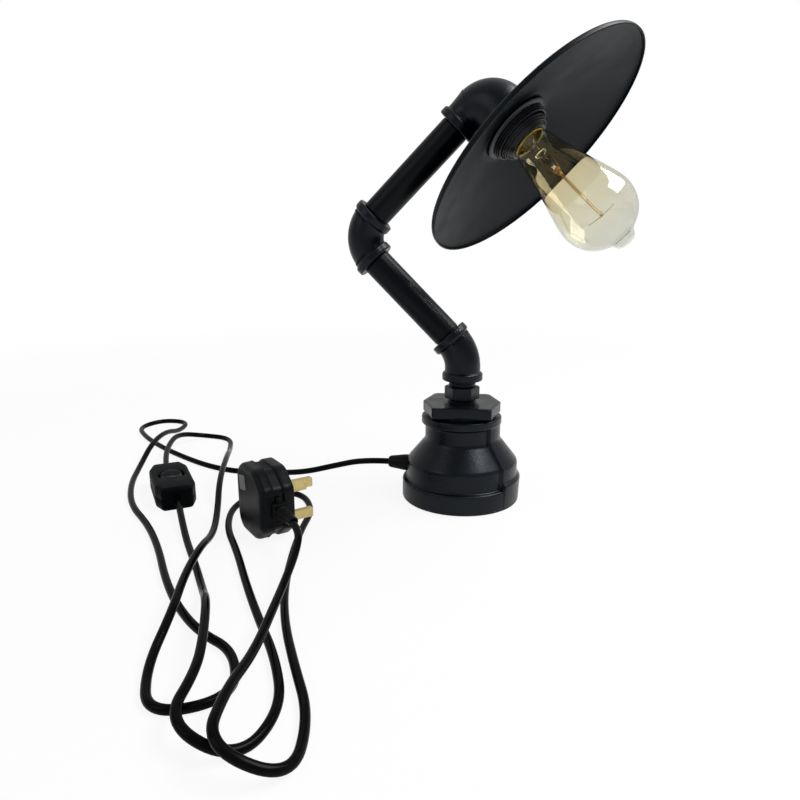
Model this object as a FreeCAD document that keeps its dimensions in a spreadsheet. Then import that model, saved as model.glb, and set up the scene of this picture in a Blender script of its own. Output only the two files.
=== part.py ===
import FreeCAD, Part
import math
import os
import Sketcher
from FreeCAD import Placement, Rotation, Vector

# Table lamp made of black malleable pipe fittings: a reducing socket as the base, two steel
# pipes joined by elbows, a screw lampholder with a flat shade and a long filament bulb, and a
# mains cord with an in-line switch and a three-pin plug.
# Frame: origin at the middle of the base's foot, +Z up, the arm lies in the XZ plane.

DOC = FreeCAD.newDocument("PipeLamp")
SHEET = DOC.addObject("Spreadsheet::Sheet", "Sizes")

DRIVING = (
    # base casting, a reducing socket that stands on its wide end
    ("barrel_radius", 42.0), ("barrel_wall", 4.3), ("barrel_top", 31.0), ("foot_step", 3.9),
    ("foot_height", 15.7),
    ("neck_radius", 28.1), ("neck_start", 47.8), ("collar_radius", 31.0), ("collar_start", 60.4),
    ("casting_height", 66.8), ("bush_bore", 48.0), ("bore_shoulder", 33.0),
    ("rib_proud", 2.2), ("rib_foot_proud", 0.9), ("rib_inset", 2.0),
    # bush and nipple in the neck of the casting
    ("bush_gap", 1.2), ("bush_head_height", 7.8), ("bush_half_width", 30.0), ("bush_half_depth", 27.0),
    ("bush_flat", 42.0), ("bush_bearing", 11.0), ("bush_shank", 19.0), ("bush_hollow", 36.0),
    ("nipple_hex", 23.6), ("nipple_hex_height", 10.1), ("nipple_hex_gap", 3.8), ("nipple_bore", 14.4),
    ("nipple_bearing", 6.0), ("nipple_rise", 4.5), ("thread_length", 11.0), ("thread_diameter", 20.8),
    # pipes and elbows
    ("pipe_diameter", 21.8), ("pipe_bore", 16.0), ("elbow_body", 27.2), ("elbow_bore", 18.4),
    ("bead_diameter", 31.0), ("bead_length", 5.8), ("bead_round", 2.2),
    ("bent_reach", 22.0), ("bent_rise", 17.0), ("bent_radius", 30.0), ("square_reach", 24.5),
    ("square_radius", 21.7),
    ("lower_span", 119.4), ("upper_span", 135.5), ("head_turn", 14.2),
    # head elbow, which widens to hold the lampholder
    ("inlet_reach", 28.5), ("inlet_small", 13.7), ("outlet_reach", 30.0), ("outlet_ball", 13.0),
    ("knee_sweep", 28.7), ("knee_ahead", 14.4), ("knee_down", 7.0), ("outlet_bore", 35.4),
    # lampholder and shade
    ("holder_back", 15.0), ("flange_radius", 21.4), ("flange_sheet", 1.0), ("skirt_diameter", 39.6),
    ("skirt_groove", 0.8), ("skirt_pitch", 2.2), ("skirt_end", 45.0), ("holder_mouth", 47.4),
    ("mouth_diameter", 33.6), ("shell_diameter", 28.2), ("shell_wall", 0.5),
    ("shade_radius", 91.4), ("shade_sheet", 1.0), ("shade_hub", 29.0), ("shade_rim", 55.9),
    ("shade_lip", 3.6), ("ring_diameter", 54.0), ("ring_flange", 1.8), ("ring_collar", 44.4),
    ("ring_pitch", 2.2), ("ring_groove", 1.0), ("outlet_bead", 51.0), ("outlet_bead_length", 6.4),
    # filament bulb, measured from the holder's mouth
    ("cap_radius", 13.1), ("cap_thread", 0.9), ("cap_pitch", 3.6), ("cap_length", 24.0),
    ("bulb_radius", 26.6), ("bulb_length", 95.4), ("bulb_belly", 62.0), ("bulb_neck", 13.6),
    ("glass_wall", 0.8), ("pip_radius", 3.2), ("button_rise", 27.0), ("spider_rise", 73.0),
    ("spider_radius", 12.0), ("rod_radius", 0.5), ("strand_low", 1.1), ("strand_high", 1.5),
    ("filament_wire", 0.5),
    # foot, cord grip and terminals inside the base
    ("plate_sheet", 2.0), ("plate_height", 3.0), ("earth_screw_in", 12.7),
    ("grip_height", 24.2), ("grip_length", 17.2), ("grip_big", 12.8), ("grip_small", 9.0),
    ("grip_stem", 10.0), ("grip_nut_flats", 14.0), ("grip_nut_height", 4.0),
    ("block_length", 24.0), ("block_width", 18.0), ("block_height", 12.0),
    # switch in the cord
    ("switch_length", 66.0), ("switch_width", 30.0), ("switch_height", 18.0), ("switch_parting", 9.0),
    ("switch_round", 6.0), ("switch_wall", 1.8), ("rocker_radius", 8.4), ("rocker_rise", 6.9),
    ("rocker_dip", 1.6), ("rocker_pivot", 11.8), ("rocker_tilt", 9.0), ("switch_axis", 9.0),
    # plug
    ("plug_width", 50.0), ("plug_length", 46.0), ("plug_depth", 24.0), ("plug_parting", 14.5),
    ("earth_pin_length", 22.7), ("live_pin_length", 17.7), ("pin_thickness", 4.0),
    ("plug_relief", 14.0), ("fuse_length", 25.4), ("fuse_diameter", 6.3),
    # cord, leads and fits
    ("cord_diameter", 4.8), ("lead_diameter", 4.2), ("running_fit", 0.08), ("seat_fit", 0.1),
    ("seat_gap", 0.3),
)


class Size:
    """A length together with the sheet expression that gives it."""

    def __init__(self, value, text):
        self.value = value
        self.text = text

    @staticmethod
    def of(other):
        return other if isinstance(other, Size) else Size(float(other), "%.12f" % other)

    def join(self, sign, other, value):
        return Size(value, "(" + self.text + sign + Size.of(other).text + ")")

    def __add__(self, other):
        return self.join(" + ", other, self.value + Size.of(other).value)

    def __radd__(self, other):
        return Size.of(other) + self

    def __sub__(self, other):
        return self.join(" - ", other, self.value - Size.of(other).value)

    def __rsub__(self, other):
        return Size.of(other) - self

    def __mul__(self, other):
        return self.join(" * ", other, self.value * Size.of(other).value)

    def __rmul__(self, other):
        return Size.of(other) * self

    def __truediv__(self, other):
        return self.join(" / ", other, self.value / Size.of(other).value)

    def __neg__(self):
        return self * -1.0


for row, (alias, number) in enumerate(DRIVING, start=1):
    SHEET.set("A%d" % row, alias)
    SHEET.set("B%d" % row, str(number))
    SHEET.setAlias("B%d" % row, alias)
DOC.recompute()
S = {alias: Size(float(SHEET.get(alias)), "Sizes." + alias) for alias, _ in DRIVING}

PARTS = {}
HEX_CORNER = 2.0 / math.sqrt(3.0)
X_AXIS = Vector(1, 0, 0)
Y_AXIS = Vector(0, 1, 0)
Z_AXIS = Vector(0, 0, 1)
FIT = S["seat_fit"]
RUN = S["running_fit"]
GAP = S["seat_gap"]
THREAD = S["thread_diameter"] / 2
FOOT = S["barrel_radius"] + S["foot_step"]
BORE = S["barrel_radius"] - S["barrel_wall"]


# ---------------------------------------------------------------- building blocks

def bind(thing, **sizes):
    """Bind properties of an object to sheet expressions."""
    for name, size in sizes.items():
        thing.setExpression(name, Size.of(size).text)
    return thing


def put(thing, x=0.0, y=0.0, z=0.0, turn=None):
    """Place an object at sheet-driven coordinates with a fixed rotation."""
    spot = [Size.of(c) for c in (x, y, z)]
    thing.Placement = Placement(Vector(*[c.value for c in spot]), turn or Rotation())
    for axis, c in zip("xyz", spot):
        thing.setExpression("Placement.Base." + axis, c.text)
    return thing


def primitive(kind, x, y, z, turn, **sizes):
    thing = DOC.addObject("Part::" + kind, kind)
    bind(thing, **sizes)
    return put(thing, x, y, z, turn)


def cylinder(radius, height, x=0.0, y=0.0, z=0.0, turn=None):
    return primitive("Cylinder", x, y, z, turn, Radius=radius, Height=height)


def cone(radius, top_radius, height, x=0.0, y=0.0, z=0.0, turn=None):
    return primitive("Cone", x, y, z, turn, Radius1=radius, Radius2=top_radius, Height=height)


def ball(radius, x=0.0, y=0.0, z=0.0):
    return primitive("Sphere", x, y, z, None, Radius=radius)


def block(length, width, height, x=0.0, y=0.0, z=0.0):
    """A box centred on x and y, standing on z."""
    corner_x = Size.of(x) - Size.of(length) / 2
    corner_y = Size.of(y) - Size.of(width) / 2
    return primitive("Box", corner_x, corner_y, z, None, Length=length, Width=width, Height=height)


def hexagon(flats, height, x=0.0, y=0.0, z=0.0, turn=None):
    prism = DOC.addObject("Part::Prism", "Prism")
    prism.Polygon = 6
    bind(prism, Circumradius=Size.of(flats) / 2 * HEX_CORNER, Height=height)
    return put(prism, x, y, z, turn)


def fuse(*things):
    whole = DOC.addObject("Part::MultiFuse", "Fuse")
    whole.Shapes = list(things)
    whole.Refine = True
    return whole


def common(first, second):
    shared = DOC.addObject("Part::MultiCommon", "Common")
    shared.Shapes = [first, second]
    return shared


def cut(base, *tools):
    result = DOC.addObject("Part::Cut", "Cut")
    result.Base = base
    result.Tool = tools[0] if len(tools) == 1 else fuse(*tools)
    result.Refine = True
    return result


def compound(*things):
    group = DOC.addObject("Part::Compound", "Group")
    group.Links = list(things)
    return group


def keep(thing, label, frame=None):
    """Name a finished piece, place it in its frame and list it for export."""
    if thing.isDerivedFrom("Part::Primitive"):
        thing = compound(thing)
    thing.Label = label
    if frame is not None:
        thing.Placement = frame
    PARTS[label] = thing
    return thing


def plane_of(body, role):
    return [item for item in body.Origin.OriginFeatures if item.Role == role][0]


def closed_outline(sketch, points):
    """Draw a closed outline, each corner held by two sheet-driven distances."""
    corners = [(Size.of(a), Size.of(b)) for a, b in points]
    for (a, b), (c, d) in zip(corners, corners[1:] + corners[:1]):
        start, end = Vector(a.value, b.value, 0), Vector(c.value, d.value, 0)
        sketch.addGeometry(Part.LineSegment(start, end), False)
    last = len(corners) - 1
    for index in range(len(corners)):
        follower = 0 if index == last else index + 1
        sketch.addConstraint(Sketcher.Constraint("Coincident", index, 2, follower, 1))
    for index, (a, b) in enumerate(corners):
        hold(sketch, "DistanceX", index, a, -2)
        hold(sketch, "DistanceY", index, b, -1)


def hold(sketch, kind, index, size, axis):
    """Hold the start of a line at a distance from the sketch origin, or on its axis."""
    if abs(size.value) < 1e-9:
        sketch.addConstraint(Sketcher.Constraint("PointOnObject", index, 1, axis))
        return
    number = sketch.addConstraint(Sketcher.Constraint(kind, -1, 1, index, 1, size.value))
    sketch.setExpression("Constraints[%d]" % number, size.text)


def body_with_sketch(name, role, points):
    body = DOC.addObject("PartDesign::Body", name)
    sketch = body.newObject("Sketcher::SketchObject", name + "_outline")
    sketch.AttachmentSupport = [(plane_of(body, role), "")]
    sketch.MapMode = "FlatFace"
    closed_outline(sketch, points)
    return body, sketch


def turned(name, points, rounds=(), sweep=360.0):
    """Turn an outline of (radius, height) corners about Z and round the named corners."""
    body, sketch = body_with_sketch(name, "XZ_Plane", points)
    turn = body.newObject("PartDesign::Revolution", name + "_turn")
    turn.Profile = sketch
    turn.ReferenceAxis = (sketch, ["V_Axis"])
    turn.Angle = sweep
    turn.Midplane = sweep < 360.0
    body.Tip = turn
    for radius, corners in rounds:
        round_rings(body, radius, corners)
    return body


def round_rings(body, radius, corners):
    """Fillet the circular edges that the given (radius, height) corners make."""
    DOC.recompute()
    rings = [(Size.of(a).value, Size.of(b).value) for a, b in corners]
    names = []
    for number, edge in enumerate(body.Tip.Shape.Edges, start=1):
        if edge.Curve.TypeId != "Part::GeomCircle":
            continue
        spot = (edge.Curve.Radius, edge.Curve.Center.z)
        if any(math.dist(spot, ring) < 1e-4 for ring in rings):
            names.append("Edge%d" % number)
    if len(names) < len(rings):
        raise RuntimeError("%s: %d of %d corners found" % (body.Label, len(names), len(rings)))
    base = body.Tip
    fillet = body.newObject("PartDesign::Fillet", "Rounds")
    fillet.Base = (base, names)
    bind(fillet, Radius=radius)
    body.Tip = fillet


def padded(name, points, height, z=0.0, turn=None):
    body, sketch = body_with_sketch(name, "XY_Plane", points)
    pad = body.newObject("PartDesign::Pad", name + "_pad")
    pad.Profile = sketch
    bind(pad, Length=height)
    body.Tip = pad
    return put(body, z=z, turn=turn)


def rounded(thing, radius, test):
    """Fillet the edges of a shape that pass a test."""
    DOC.recompute()
    result = DOC.addObject("Part::Fillet", "Rounded")
    result.Base = thing
    amount = Size.of(radius).value
    chosen = [number for number, edge in enumerate(thing.Shape.Edges, start=1) if test(edge)]
    result.Edges = [(number, amount, amount) for number in chosen]
    return result


def stands(edge):
    """True for a straight edge that runs along Z."""
    if edge.Curve.TypeId != "Part::GeomLine":
        return False
    return edge.Vertexes[0].Point.sub(edge.Vertexes[-1].Point).cross(Z_AXIS).Length < 1e-6


def lies_at(height):
    """A test for edges whose whole length lies at one height."""
    def test(edge):
        return all(abs(edge.valueAt(t).z - height) < 1e-4
                   for t in (edge.FirstParameter, (edge.FirstParameter + edge.LastParameter) / 2))
    return test


def tube(inner, outer, height, z=0.0):
    return cut(cylinder(outer, height, z=z), cylinder(inner, height + 2, z=Size.of(z) - 1))


# ---------------------------------------------------------------- frames of the arm

bush_bottom = S["casting_height"] + S["bush_gap"]
bush_top = bush_bottom + S["bush_head_height"]
nipple_hex_z = bush_top + S["nipple_hex_gap"]
nipple_hex_top = nipple_hex_z + S["nipple_hex_height"]
nipple_top = nipple_hex_top + S["nipple_rise"]
lower_corner = nipple_top + S["bent_reach"]
BEND = 45.0

LOWER = Placement(Vector(0, 0, lower_corner.value), Rotation(Y_AXIS, -BEND))
MIDDLE = Placement(LOWER.multVec(Vector(0, 0, S["lower_span"].value)), LOWER.Rotation)
UPPER = Placement(MIDDLE.Base, Rotation(Y_AXIS, BEND))
HEAD_TURN = Rotation(Z_AXIS, -S["head_turn"].value)
HEAD = Placement(UPPER.multVec(Vector(0, 0, S["upper_span"].value)), UPPER.Rotation * HEAD_TURN)
LIGHT = HEAD * Placement(Vector(), Rotation(Y_AXIS, 90))
GRIP = Placement(Vector(0, 0, S["grip_height"].value), Rotation(Y_AXIS, -90))


# ---------------------------------------------------------------- base

def rib(name, bearing, sweep):
    """A raised casting pad that follows the outside of the reducing socket."""
    proud, inset = S["rib_proud"], S["rib_inset"]
    side, foot, neck = S["barrel_radius"], S["foot_height"], S["neck_radius"]
    step = FOOT + S["rib_foot_proud"]
    outline = (
        (side - inset, inset), (step, inset), (step, foot + 3.6), (side + proud, foot + 6),
        (side + proud, S["barrel_top"] + 0.6), (neck + proud, S["neck_start"] + 1.4),
        (neck + proud, S["collar_start"] + 2), (neck - inset, S["collar_start"] + 2),
        (neck - inset, S["neck_start"]), (side - inset, S["barrel_top"]))
    strip = turned(name, outline, sweep=sweep)
    strip.Placement = Placement(Vector(), Rotation(Z_AXIS, bearing - 90.0))
    return strip


def reducing_socket():
    top, bore, foot = S["casting_height"], BORE, FOOT
    mouth = S["bush_bore"] / 2
    shoulder = S["bore_shoulder"]
    under_collar = S["collar_start"] + 1.6
    outline = (
        (bore, 0.0), (foot, 0.0), (foot, S["foot_height"]),
        (S["barrel_radius"], S["foot_height"]), (S["barrel_radius"], S["barrel_top"]),
        (S["neck_radius"], S["neck_start"]), (S["neck_radius"], S["collar_start"]),
        (S["collar_radius"], under_collar), (S["collar_radius"], top),
        (mouth, top), (mouth, S["neck_start"] - 1.4), (bore - 1.2, shoulder), (bore, shoulder))
    rounds = (
        (1.4, ((foot, 0.0), (foot, S["foot_height"]))),
        (1.5, ((S["barrel_radius"], S["foot_height"]),)),
        (5.0, ((S["barrel_radius"], S["barrel_top"]),)),
        (5.0, ((S["neck_radius"], S["neck_start"]),)),
        (1.0, ((S["collar_radius"], top), (S["collar_radius"], under_collar))))
    casting = turned("socket_casting", outline, rounds)
    whole = fuse(casting, rib("rib_side", 88.0, 72.0), rib("rib_back", 222.0, 16.0))
    grip_hole = cylinder(S["grip_stem"] / 2 + FIT, foot, z=S["grip_height"],
                         turn=Rotation(Y_AXIS, -90))
    keep(cut(whole, grip_hole), "reducing_socket")


def reducing_bush():
    wide, deep, flat = S["bush_half_width"], S["bush_half_depth"], S["bush_flat"] / 2
    corners = ((-flat, -deep), (flat, -deep), (wide, 0.0), (flat, deep), (-flat, deep), (-wide, 0.0))
    height = S["bush_head_height"]
    plain = rounded(padded("bush_head", corners, height), 3.0, stands)
    bevel = cone(wide + height + 0.6, wide + 0.6, height)
    head = common(plain, bevel)
    put(head, z=bush_bottom, turn=Rotation(Z_AXIS, S["bush_bearing"].value))
    shank = cylinder(S["bush_bore"] / 2 - FIT, S["bush_shank"] + 1, z=bush_bottom - S["bush_shank"])
    thread_bore = cylinder(THREAD + FIT, S["thread_length"] + S["bush_shank"], z=bush_bottom - 8)
    hollow = cylinder(S["bush_hollow"] / 2, S["bush_shank"] - 6, z=bush_bottom - S["bush_shank"] - 1)
    keep(cut(fuse(head, shank), thread_bore, hollow), "reducing_bush")


def hex_nipple():
    height = S["nipple_hex_height"]
    turn = Rotation(Z_AXIS, S["nipple_bearing"].value)
    plain = hexagon(S["nipple_hex"], height, z=nipple_hex_z, turn=turn)
    corner = S["nipple_hex"] / 2 + 0.9
    bevel_top = cone(corner + height, corner, height, z=nipple_hex_z)
    bevel_low = cone(corner, corner + height, height, z=nipple_hex_z)
    nut = common(common(plain, bevel_top), bevel_low)
    low = bush_top - S["thread_length"]
    high = nipple_top + S["thread_length"]
    outline = [(S["nipple_bore"] / 2, low), (THREAD, low)]
    groove, pitch = 0.7, 1.9
    for z0, count in ((bush_top + 0.3, 2), (nipple_hex_top + 0.4, 2)):
        for step in range(count):
            z = z0 + step * pitch
            outline += [(THREAD, z), (THREAD - groove, z + pitch / 3), (THREAD, z + pitch * 2 / 3)]
    outline += [(THREAD, high), (S["nipple_bore"] / 2, high)]
    thread = turned("nipple_thread", outline)
    bore = cylinder(S["nipple_bore"] / 2, high - low + 2, z=low - 1)
    keep(cut(fuse(nut, thread), bore), "hex_nipple")


def base_closure():
    """Cover plate, foot pad, earth screw and terminal block inside the base."""
    bore = BORE
    floor = S["plate_height"] + S["plate_sheet"]
    screw_y = BORE - S["earth_screw_in"]
    plate = cut(cylinder(bore - FIT, S["plate_sheet"], z=S["plate_height"]),
                cylinder(2.0 + FIT, 6.0, y=screw_y, z=S["plate_height"] - 2))
    keep(plate, "base_plate")
    keep(cylinder(bore - FIT, S["plate_height"] - GAP), "foot_pad")
    stud = cylinder(2.0, 8.0, y=screw_y, z=S["plate_height"])
    keep(fuse(stud, hexagon(7.0, 3.0, y=screw_y, z=floor + GAP)), "earth_screw")
    length, width, height = S["block_length"], S["block_width"], S["block_height"]
    spots = [(x, y) for x in (-length / 4, length / 4) for y in (-width / 4, width / 4)]
    top = floor + height
    wells = [cylinder(2.4, 6.0, x=x, y=y, z=top - 5) for x, y in spots]
    solid = rounded(block(length, width, height, z=floor), 1.2, stands)
    keep(cut(solid, *wells), "terminal_block")
    keep(compound(*[cylinder(2.2, 4.0, x=x, y=y, z=top - 4.9) for x, y in spots]), "terminal_screws")
    return top


def cord_grip():
    """Tapered strain relief screwed into the side of the barrel, along -X."""
    cord_bore = S["cord_diameter"] / 2 + FIT
    face = S["barrel_radius"] - 1.0
    inside = BORE
    tip = face + S["grip_length"]
    stem, big, small = S["grip_stem"] / 2, S["grip_big"] / 2, S["grip_small"] / 2
    outline = (
        (cord_bore, inside - 6), (stem, inside - 6), (stem, face + 1.3), (big, face + 1.3),
        (big, face + 4), (small, tip), (cord_bore, tip))
    keep(turned("grip_body", outline, ((0.8, ((small, tip),)), (0.6, ((big, face + 4),)))),
         "cord_grip", GRIP)
    height = S["grip_nut_height"]
    nut = cut(hexagon(S["grip_nut_flats"], height, z=inside - height - 1.4, turn=Rotation(Z_AXIS, 30)),
              cylinder(stem + FIT, height + 2, z=inside - height - 2.4))
    keep(nut, "grip_nut", GRIP)
    return tip


# ---------------------------------------------------------------- pipes and elbows

def bead(reach, turn, name):
    """Rolled band round the mouth of an elbow."""
    low, outside = reach - S["bead_length"], S["bead_diameter"] / 2
    inside = THREAD + 1.2
    outline = ((inside, low), (outside, low), (outside, reach), (inside, reach))
    ring = turned(name, outline, ((S["bead_round"], ((outside, low), (outside, reach))),))
    ring.Placement = Placement(Vector(), turn)
    return ring


def socket_bore(reach, turn):
    """Threaded recess of an elbow, as deep as a pipe thread is long."""
    along = turn.multVec(Z_AXIS)
    start = reach - S["thread_length"] - GAP
    tool = cylinder(THREAD + RUN, S["thread_length"] + GAP + 1)
    return put(tool, x=start * along.x, y=start * along.y, z=start * along.z, turn=turn)


def elbow(name, label, angle, radius, reaches, frame):
    """Elbow from -Z at its corner, bending by an angle towards +X."""
    half = math.radians(angle) / 2
    tangent = radius * math.tan(half)
    down, ahead = Rotation(X_AXIS, 180), Rotation(Y_AXIS, angle)
    sideways = Rotation(-X_AXIS, Z_AXIS, Y_AXIS, "ZXY")
    bodies = []
    for tube_radius in (S["elbow_body"] / 2, S["elbow_bore"] / 2):
        ring = primitive("Torus", radius, 0.0, -tangent, sideways, Radius1=radius, Radius2=tube_radius)
        ring.Angle3 = angle
        legs = []
        for turn, reach in zip((down, ahead), reaches):
            d = turn.multVec(Z_AXIS)
            leg = cylinder(tube_radius, reach - tangent)
            legs.append(put(leg, x=tangent * d.x, y=tangent * d.y, z=tangent * d.z,
                            turn=turn * Rotation(Z_AXIS, 90)))
        bodies.append(fuse(ring, *legs))
    inlet, outlet = reaches
    shell = fuse(bodies[0], bead(inlet, down, name + "_bead_in"), bead(outlet, ahead, name + "_bead_out"))
    hollow = fuse(bodies[1], socket_bore(inlet, down), socket_bore(outlet, ahead))
    keep(cut(shell, hollow), label, frame)


def head_elbow():
    """Reducing elbow: a narrow inlet along -Z and a wide outlet along +X."""
    down, ahead = Rotation(X_AXIS, 180), Rotation(Y_AXIS, 90)
    inlet, outlet = S["inlet_reach"], S["outlet_reach"]
    sweep, forward, low = S["knee_sweep"], S["knee_ahead"], S["knee_down"]
    wide, narrow, seat = sweep - low, sweep - forward, S["outlet_ball"]
    neck = cone(S["inlet_small"], narrow, inlet - 2 - low, z=2 - inlet)
    knee = common(cone(narrow, narrow + 0.6, low + seat, z=-low), ball(sweep, x=forward, z=-low))
    barrel = cylinder(wide, outlet - seat - 1, x=seat, turn=ahead)
    band_low, band = outlet - S["outlet_bead_length"], S["outlet_bead"] / 2
    band_in = S["outlet_bore"] / 2 + 1.2
    lip = turned("outlet_band", ((band_in, band_low), (band, band_low), (band, outlet), (band_in, outlet)),
                 ((2.0, ((band, band_low), (band, outlet))),))
    lip.Placement = Placement(Vector(), ahead)
    shell = fuse(neck, knee, ball(wide, x=seat), barrel, lip, bead(inlet, down, "head_bead"))
    bore = S["outlet_bore"] / 2
    hollow = fuse(cylinder(S["elbow_bore"] / 2, inlet + 1, z=-inlet - 1),
                  ball(bore, x=seat), cylinder(bore, wide + 1, x=seat, turn=ahead),
                  socket_bore(inlet, down))
    keep(cut(shell, hollow), "head_elbow", HEAD)


def pipe(name, low, high, frame):
    """Steel pipe with a reduced, threaded length at each end, along Z."""
    inner, outer, thread = S["pipe_bore"] / 2, S["pipe_diameter"] / 2, S["thread_length"]
    outline = (
        (inner, low - thread), (THREAD, low - thread), (THREAD, low + GAP), (outer, low + GAP + 0.6),
        (outer, high - GAP - 0.6), (THREAD, high - GAP), (THREAD, high + thread), (inner, high + thread))
    keep(turned(name + "_body", outline), name, frame)


def arm():
    flip = Placement(LOWER.Base, Rotation(Z_AXIS, 180))
    bent, square = (S["bent_reach"], S["bent_rise"]), (S["square_reach"], S["square_reach"])
    elbow("lower", "lower_elbow", BEND, S["bent_radius"], bent, flip)
    elbow("middle", "middle_elbow", 90.0, S["square_radius"], square, MIDDLE)
    pipe("lower_pipe", S["bent_rise"], S["lower_span"] - S["square_reach"], LOWER)
    pipe("upper_pipe", S["square_reach"], S["upper_span"] - S["inlet_reach"], UPPER)
    head_elbow()


# ---------------------------------------------------------------- lampholder, shade and bulb

def lampholder():
    mouth, back = S["holder_mouth"], S["holder_back"]
    outlet = S["outlet_reach"]
    flange_low = outlet + GAP
    flange_top = flange_low + S["flange_sheet"]
    skirt, bore = S["skirt_diameter"] / 2, S["shell_diameter"] / 2 + FIT
    inside = S["outlet_bore"] / 2 - FIT
    pitch, groove = S["skirt_pitch"], S["skirt_groove"]
    threads = []
    start = S["skirt_end"] - pitch * 3
    for step in range(3):
        z = start + pitch * float(step)
        threads += [(skirt, z), (skirt - groove, z + pitch * 0.5)]
    outline = [
        (4.2, back), (inside, back), (inside, flange_low), (S["flange_radius"], flange_low),
        (S["flange_radius"], flange_top), (skirt, flange_top)] + threads + [
        (skirt, S["skirt_end"]), (S["mouth_diameter"] / 2, mouth), (bore, mouth),
        (bore, back + 3), (4.2, back + 3)]
    keep(turned("holder_body", outline), "lampholder_body", LIGHT)
    insert_low = back + 3 + FIT
    insert = tube(1.6, bore - FIT, 3.0, z=insert_low)
    keep(insert, "holder_insert", LIGHT)
    insert_top = insert_low + 3
    contact = fuse(cylinder(1.5, 4.6, z=insert_low - 1), cone(4.2, 2.6, 0.9, z=insert_top + FIT))
    keep(contact, "centre_contact", LIGHT)
    outer = S["shell_diameter"] / 2
    inner = outer - S["shell_wall"]
    shell_low = insert_top + 1.2
    lip = mouth + 0.8
    rolled = ((inner, shell_low), (outer, shell_low), (outer, mouth + 0.2), (outer + 0.8, mouth + 0.2),
              (outer + 0.8, lip), (inner, lip))
    keep(turned("screw_shell_body", rolled), "screw_shell", LIGHT)
    return flange_top


def shade(flange_top):
    hole, sheet = S["skirt_diameter"] / 2 + FIT, S["shade_sheet"]
    top = flange_top + GAP
    rim, low, lip = S["shade_radius"], S["shade_rim"], S["shade_lip"]
    hub = S["shade_hub"]
    bend_top = low - lip
    outline = (
        (hole, top), (hub, top), (rim, bend_top), (rim, low), (rim - sheet, low),
        (rim - sheet, bend_top + sheet * 0.75), (hub - 0.3, top + sheet), (hole, top + sheet))
    body = turned("shade_body", outline, ((1.6, ((rim, bend_top),)), (6.0, ((hub, top),))))
    keep(body, "shade", LIGHT)
    ring_low = top + sheet + GAP
    outer, collar = S["ring_diameter"] / 2, S["ring_collar"] / 2
    face = ring_low + S["ring_flange"]
    pitch, groove = S["ring_pitch"], S["ring_groove"]
    ring_outline = [(hole, ring_low), (outer, ring_low), (outer, face), (collar, face)]
    for step in range(2):
        crest = collar - 0.5 * step
        z = face + pitch * float(step)
        ring_outline += [(crest, z + pitch * 0.5), (crest - groove, z + pitch * 0.62),
                         (crest - groove, z + pitch * 0.8), (crest - 0.5, z + pitch)]
    top_z = face + pitch * 2.5
    ring_outline += [(collar - 1.0, top_z), (hole, top_z)]
    ring = turned("ring_body", ring_outline, ((0.7, ((outer, face),)),))
    keep(ring, "shade_ring", LIGHT)


def glass_outline(inset, start):
    """Outline of the bulb's glass, moved inwards by an inset."""
    mouth = S["holder_mouth"]
    neck, belly = S["bulb_neck"] - inset, S["bulb_radius"] - inset
    wide_z, tip_z = mouth + S["bulb_belly"], mouth + S["bulb_length"] - inset
    points = ((0.0, start), (neck - 1.0, start), (neck - 1.0, mouth + 1.0), (neck, mouth + 3.0),
              (belly, wide_z), (belly, tip_z), (0.0, tip_z))
    rounds = ((12.0, ((neck, mouth + 3.0),)), (70.0, ((belly, wide_z),)),
              (belly - 0.8, ((belly, tip_z),)))
    return points, rounds


def bulb():
    mouth = S["holder_mouth"]
    wall = S["glass_wall"]
    cap_low = mouth - S["cap_length"]
    outer_points, outer_rounds = glass_outline(Size.of(0.0), mouth - 2.0)
    inner_points, inner_rounds = glass_outline(wall, mouth - 3.0)
    outside = turned("glass_outside", outer_points, outer_rounds)
    inside = turned("glass_inside", inner_points, inner_rounds)
    tip = mouth + S["bulb_length"]
    pip = cone(S["pip_radius"], 1.2, 2.6, z=tip - 0.7)
    keep(cut(fuse(outside, pip), inside), "bulb_glass", LIGHT)

    radius, thread, pitch = S["cap_radius"], S["cap_thread"], S["cap_pitch"]
    wall_in = radius - thread - 0.5
    outline = [(wall_in, cap_low + 4.4), (radius - thread, cap_low + 4.4)]
    for step in range(4):
        z = cap_low + 5.0 + pitch * float(step)
        outline += [(radius - thread, z), (radius, z + pitch * 0.3), (radius, z + pitch * 0.6)]
    outline += [(radius - thread, cap_low + 5.0 + pitch * 4.0), (radius - thread, mouth - 2.2),
                (wall_in, mouth - 2.2)]
    keep(turned("cap_body", outline), "bulb_cap", LIGHT)
    collar = S["cap_radius"] - S["cap_thread"]
    seat = ((0.0, cap_low + 1.0), (5.2, cap_low + 1.0), (collar - 1.0, cap_low + 3.6),
            (collar - 1.0, cap_low + 4.3), (0.0, cap_low + 4.3))
    keep(turned("cap_seat", seat), "cap_insulator", LIGHT)
    keep(cone(3.2, 4.6, 0.9, z=cap_low + 0.05), "cap_contact", LIGHT)

    button = mouth + S["button_rise"]
    stem_low = mouth - 1.8
    flare = S["bulb_neck"] - 1.0 - wall - FIT
    rod, spider = S["rod_radius"], mouth + S["spider_rise"]
    stem = ((0.0, stem_low), (flare, stem_low), (flare, stem_low + 0.8), (7.6, mouth + 9.0),
            (3.0, button - 7.0), (1.7, button - 4.0), (1.7, button - 0.6), (2.6, button + 0.4),
            (2.6, button + 1.4), (rod, button + 2.6), (rod, spider), (0.0, spider))
    keep(turned("stem_body", stem), "bulb_stem", LIGHT)
    wire = S["filament_wire"] / 2
    filament(button, spider, wire)


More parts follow.
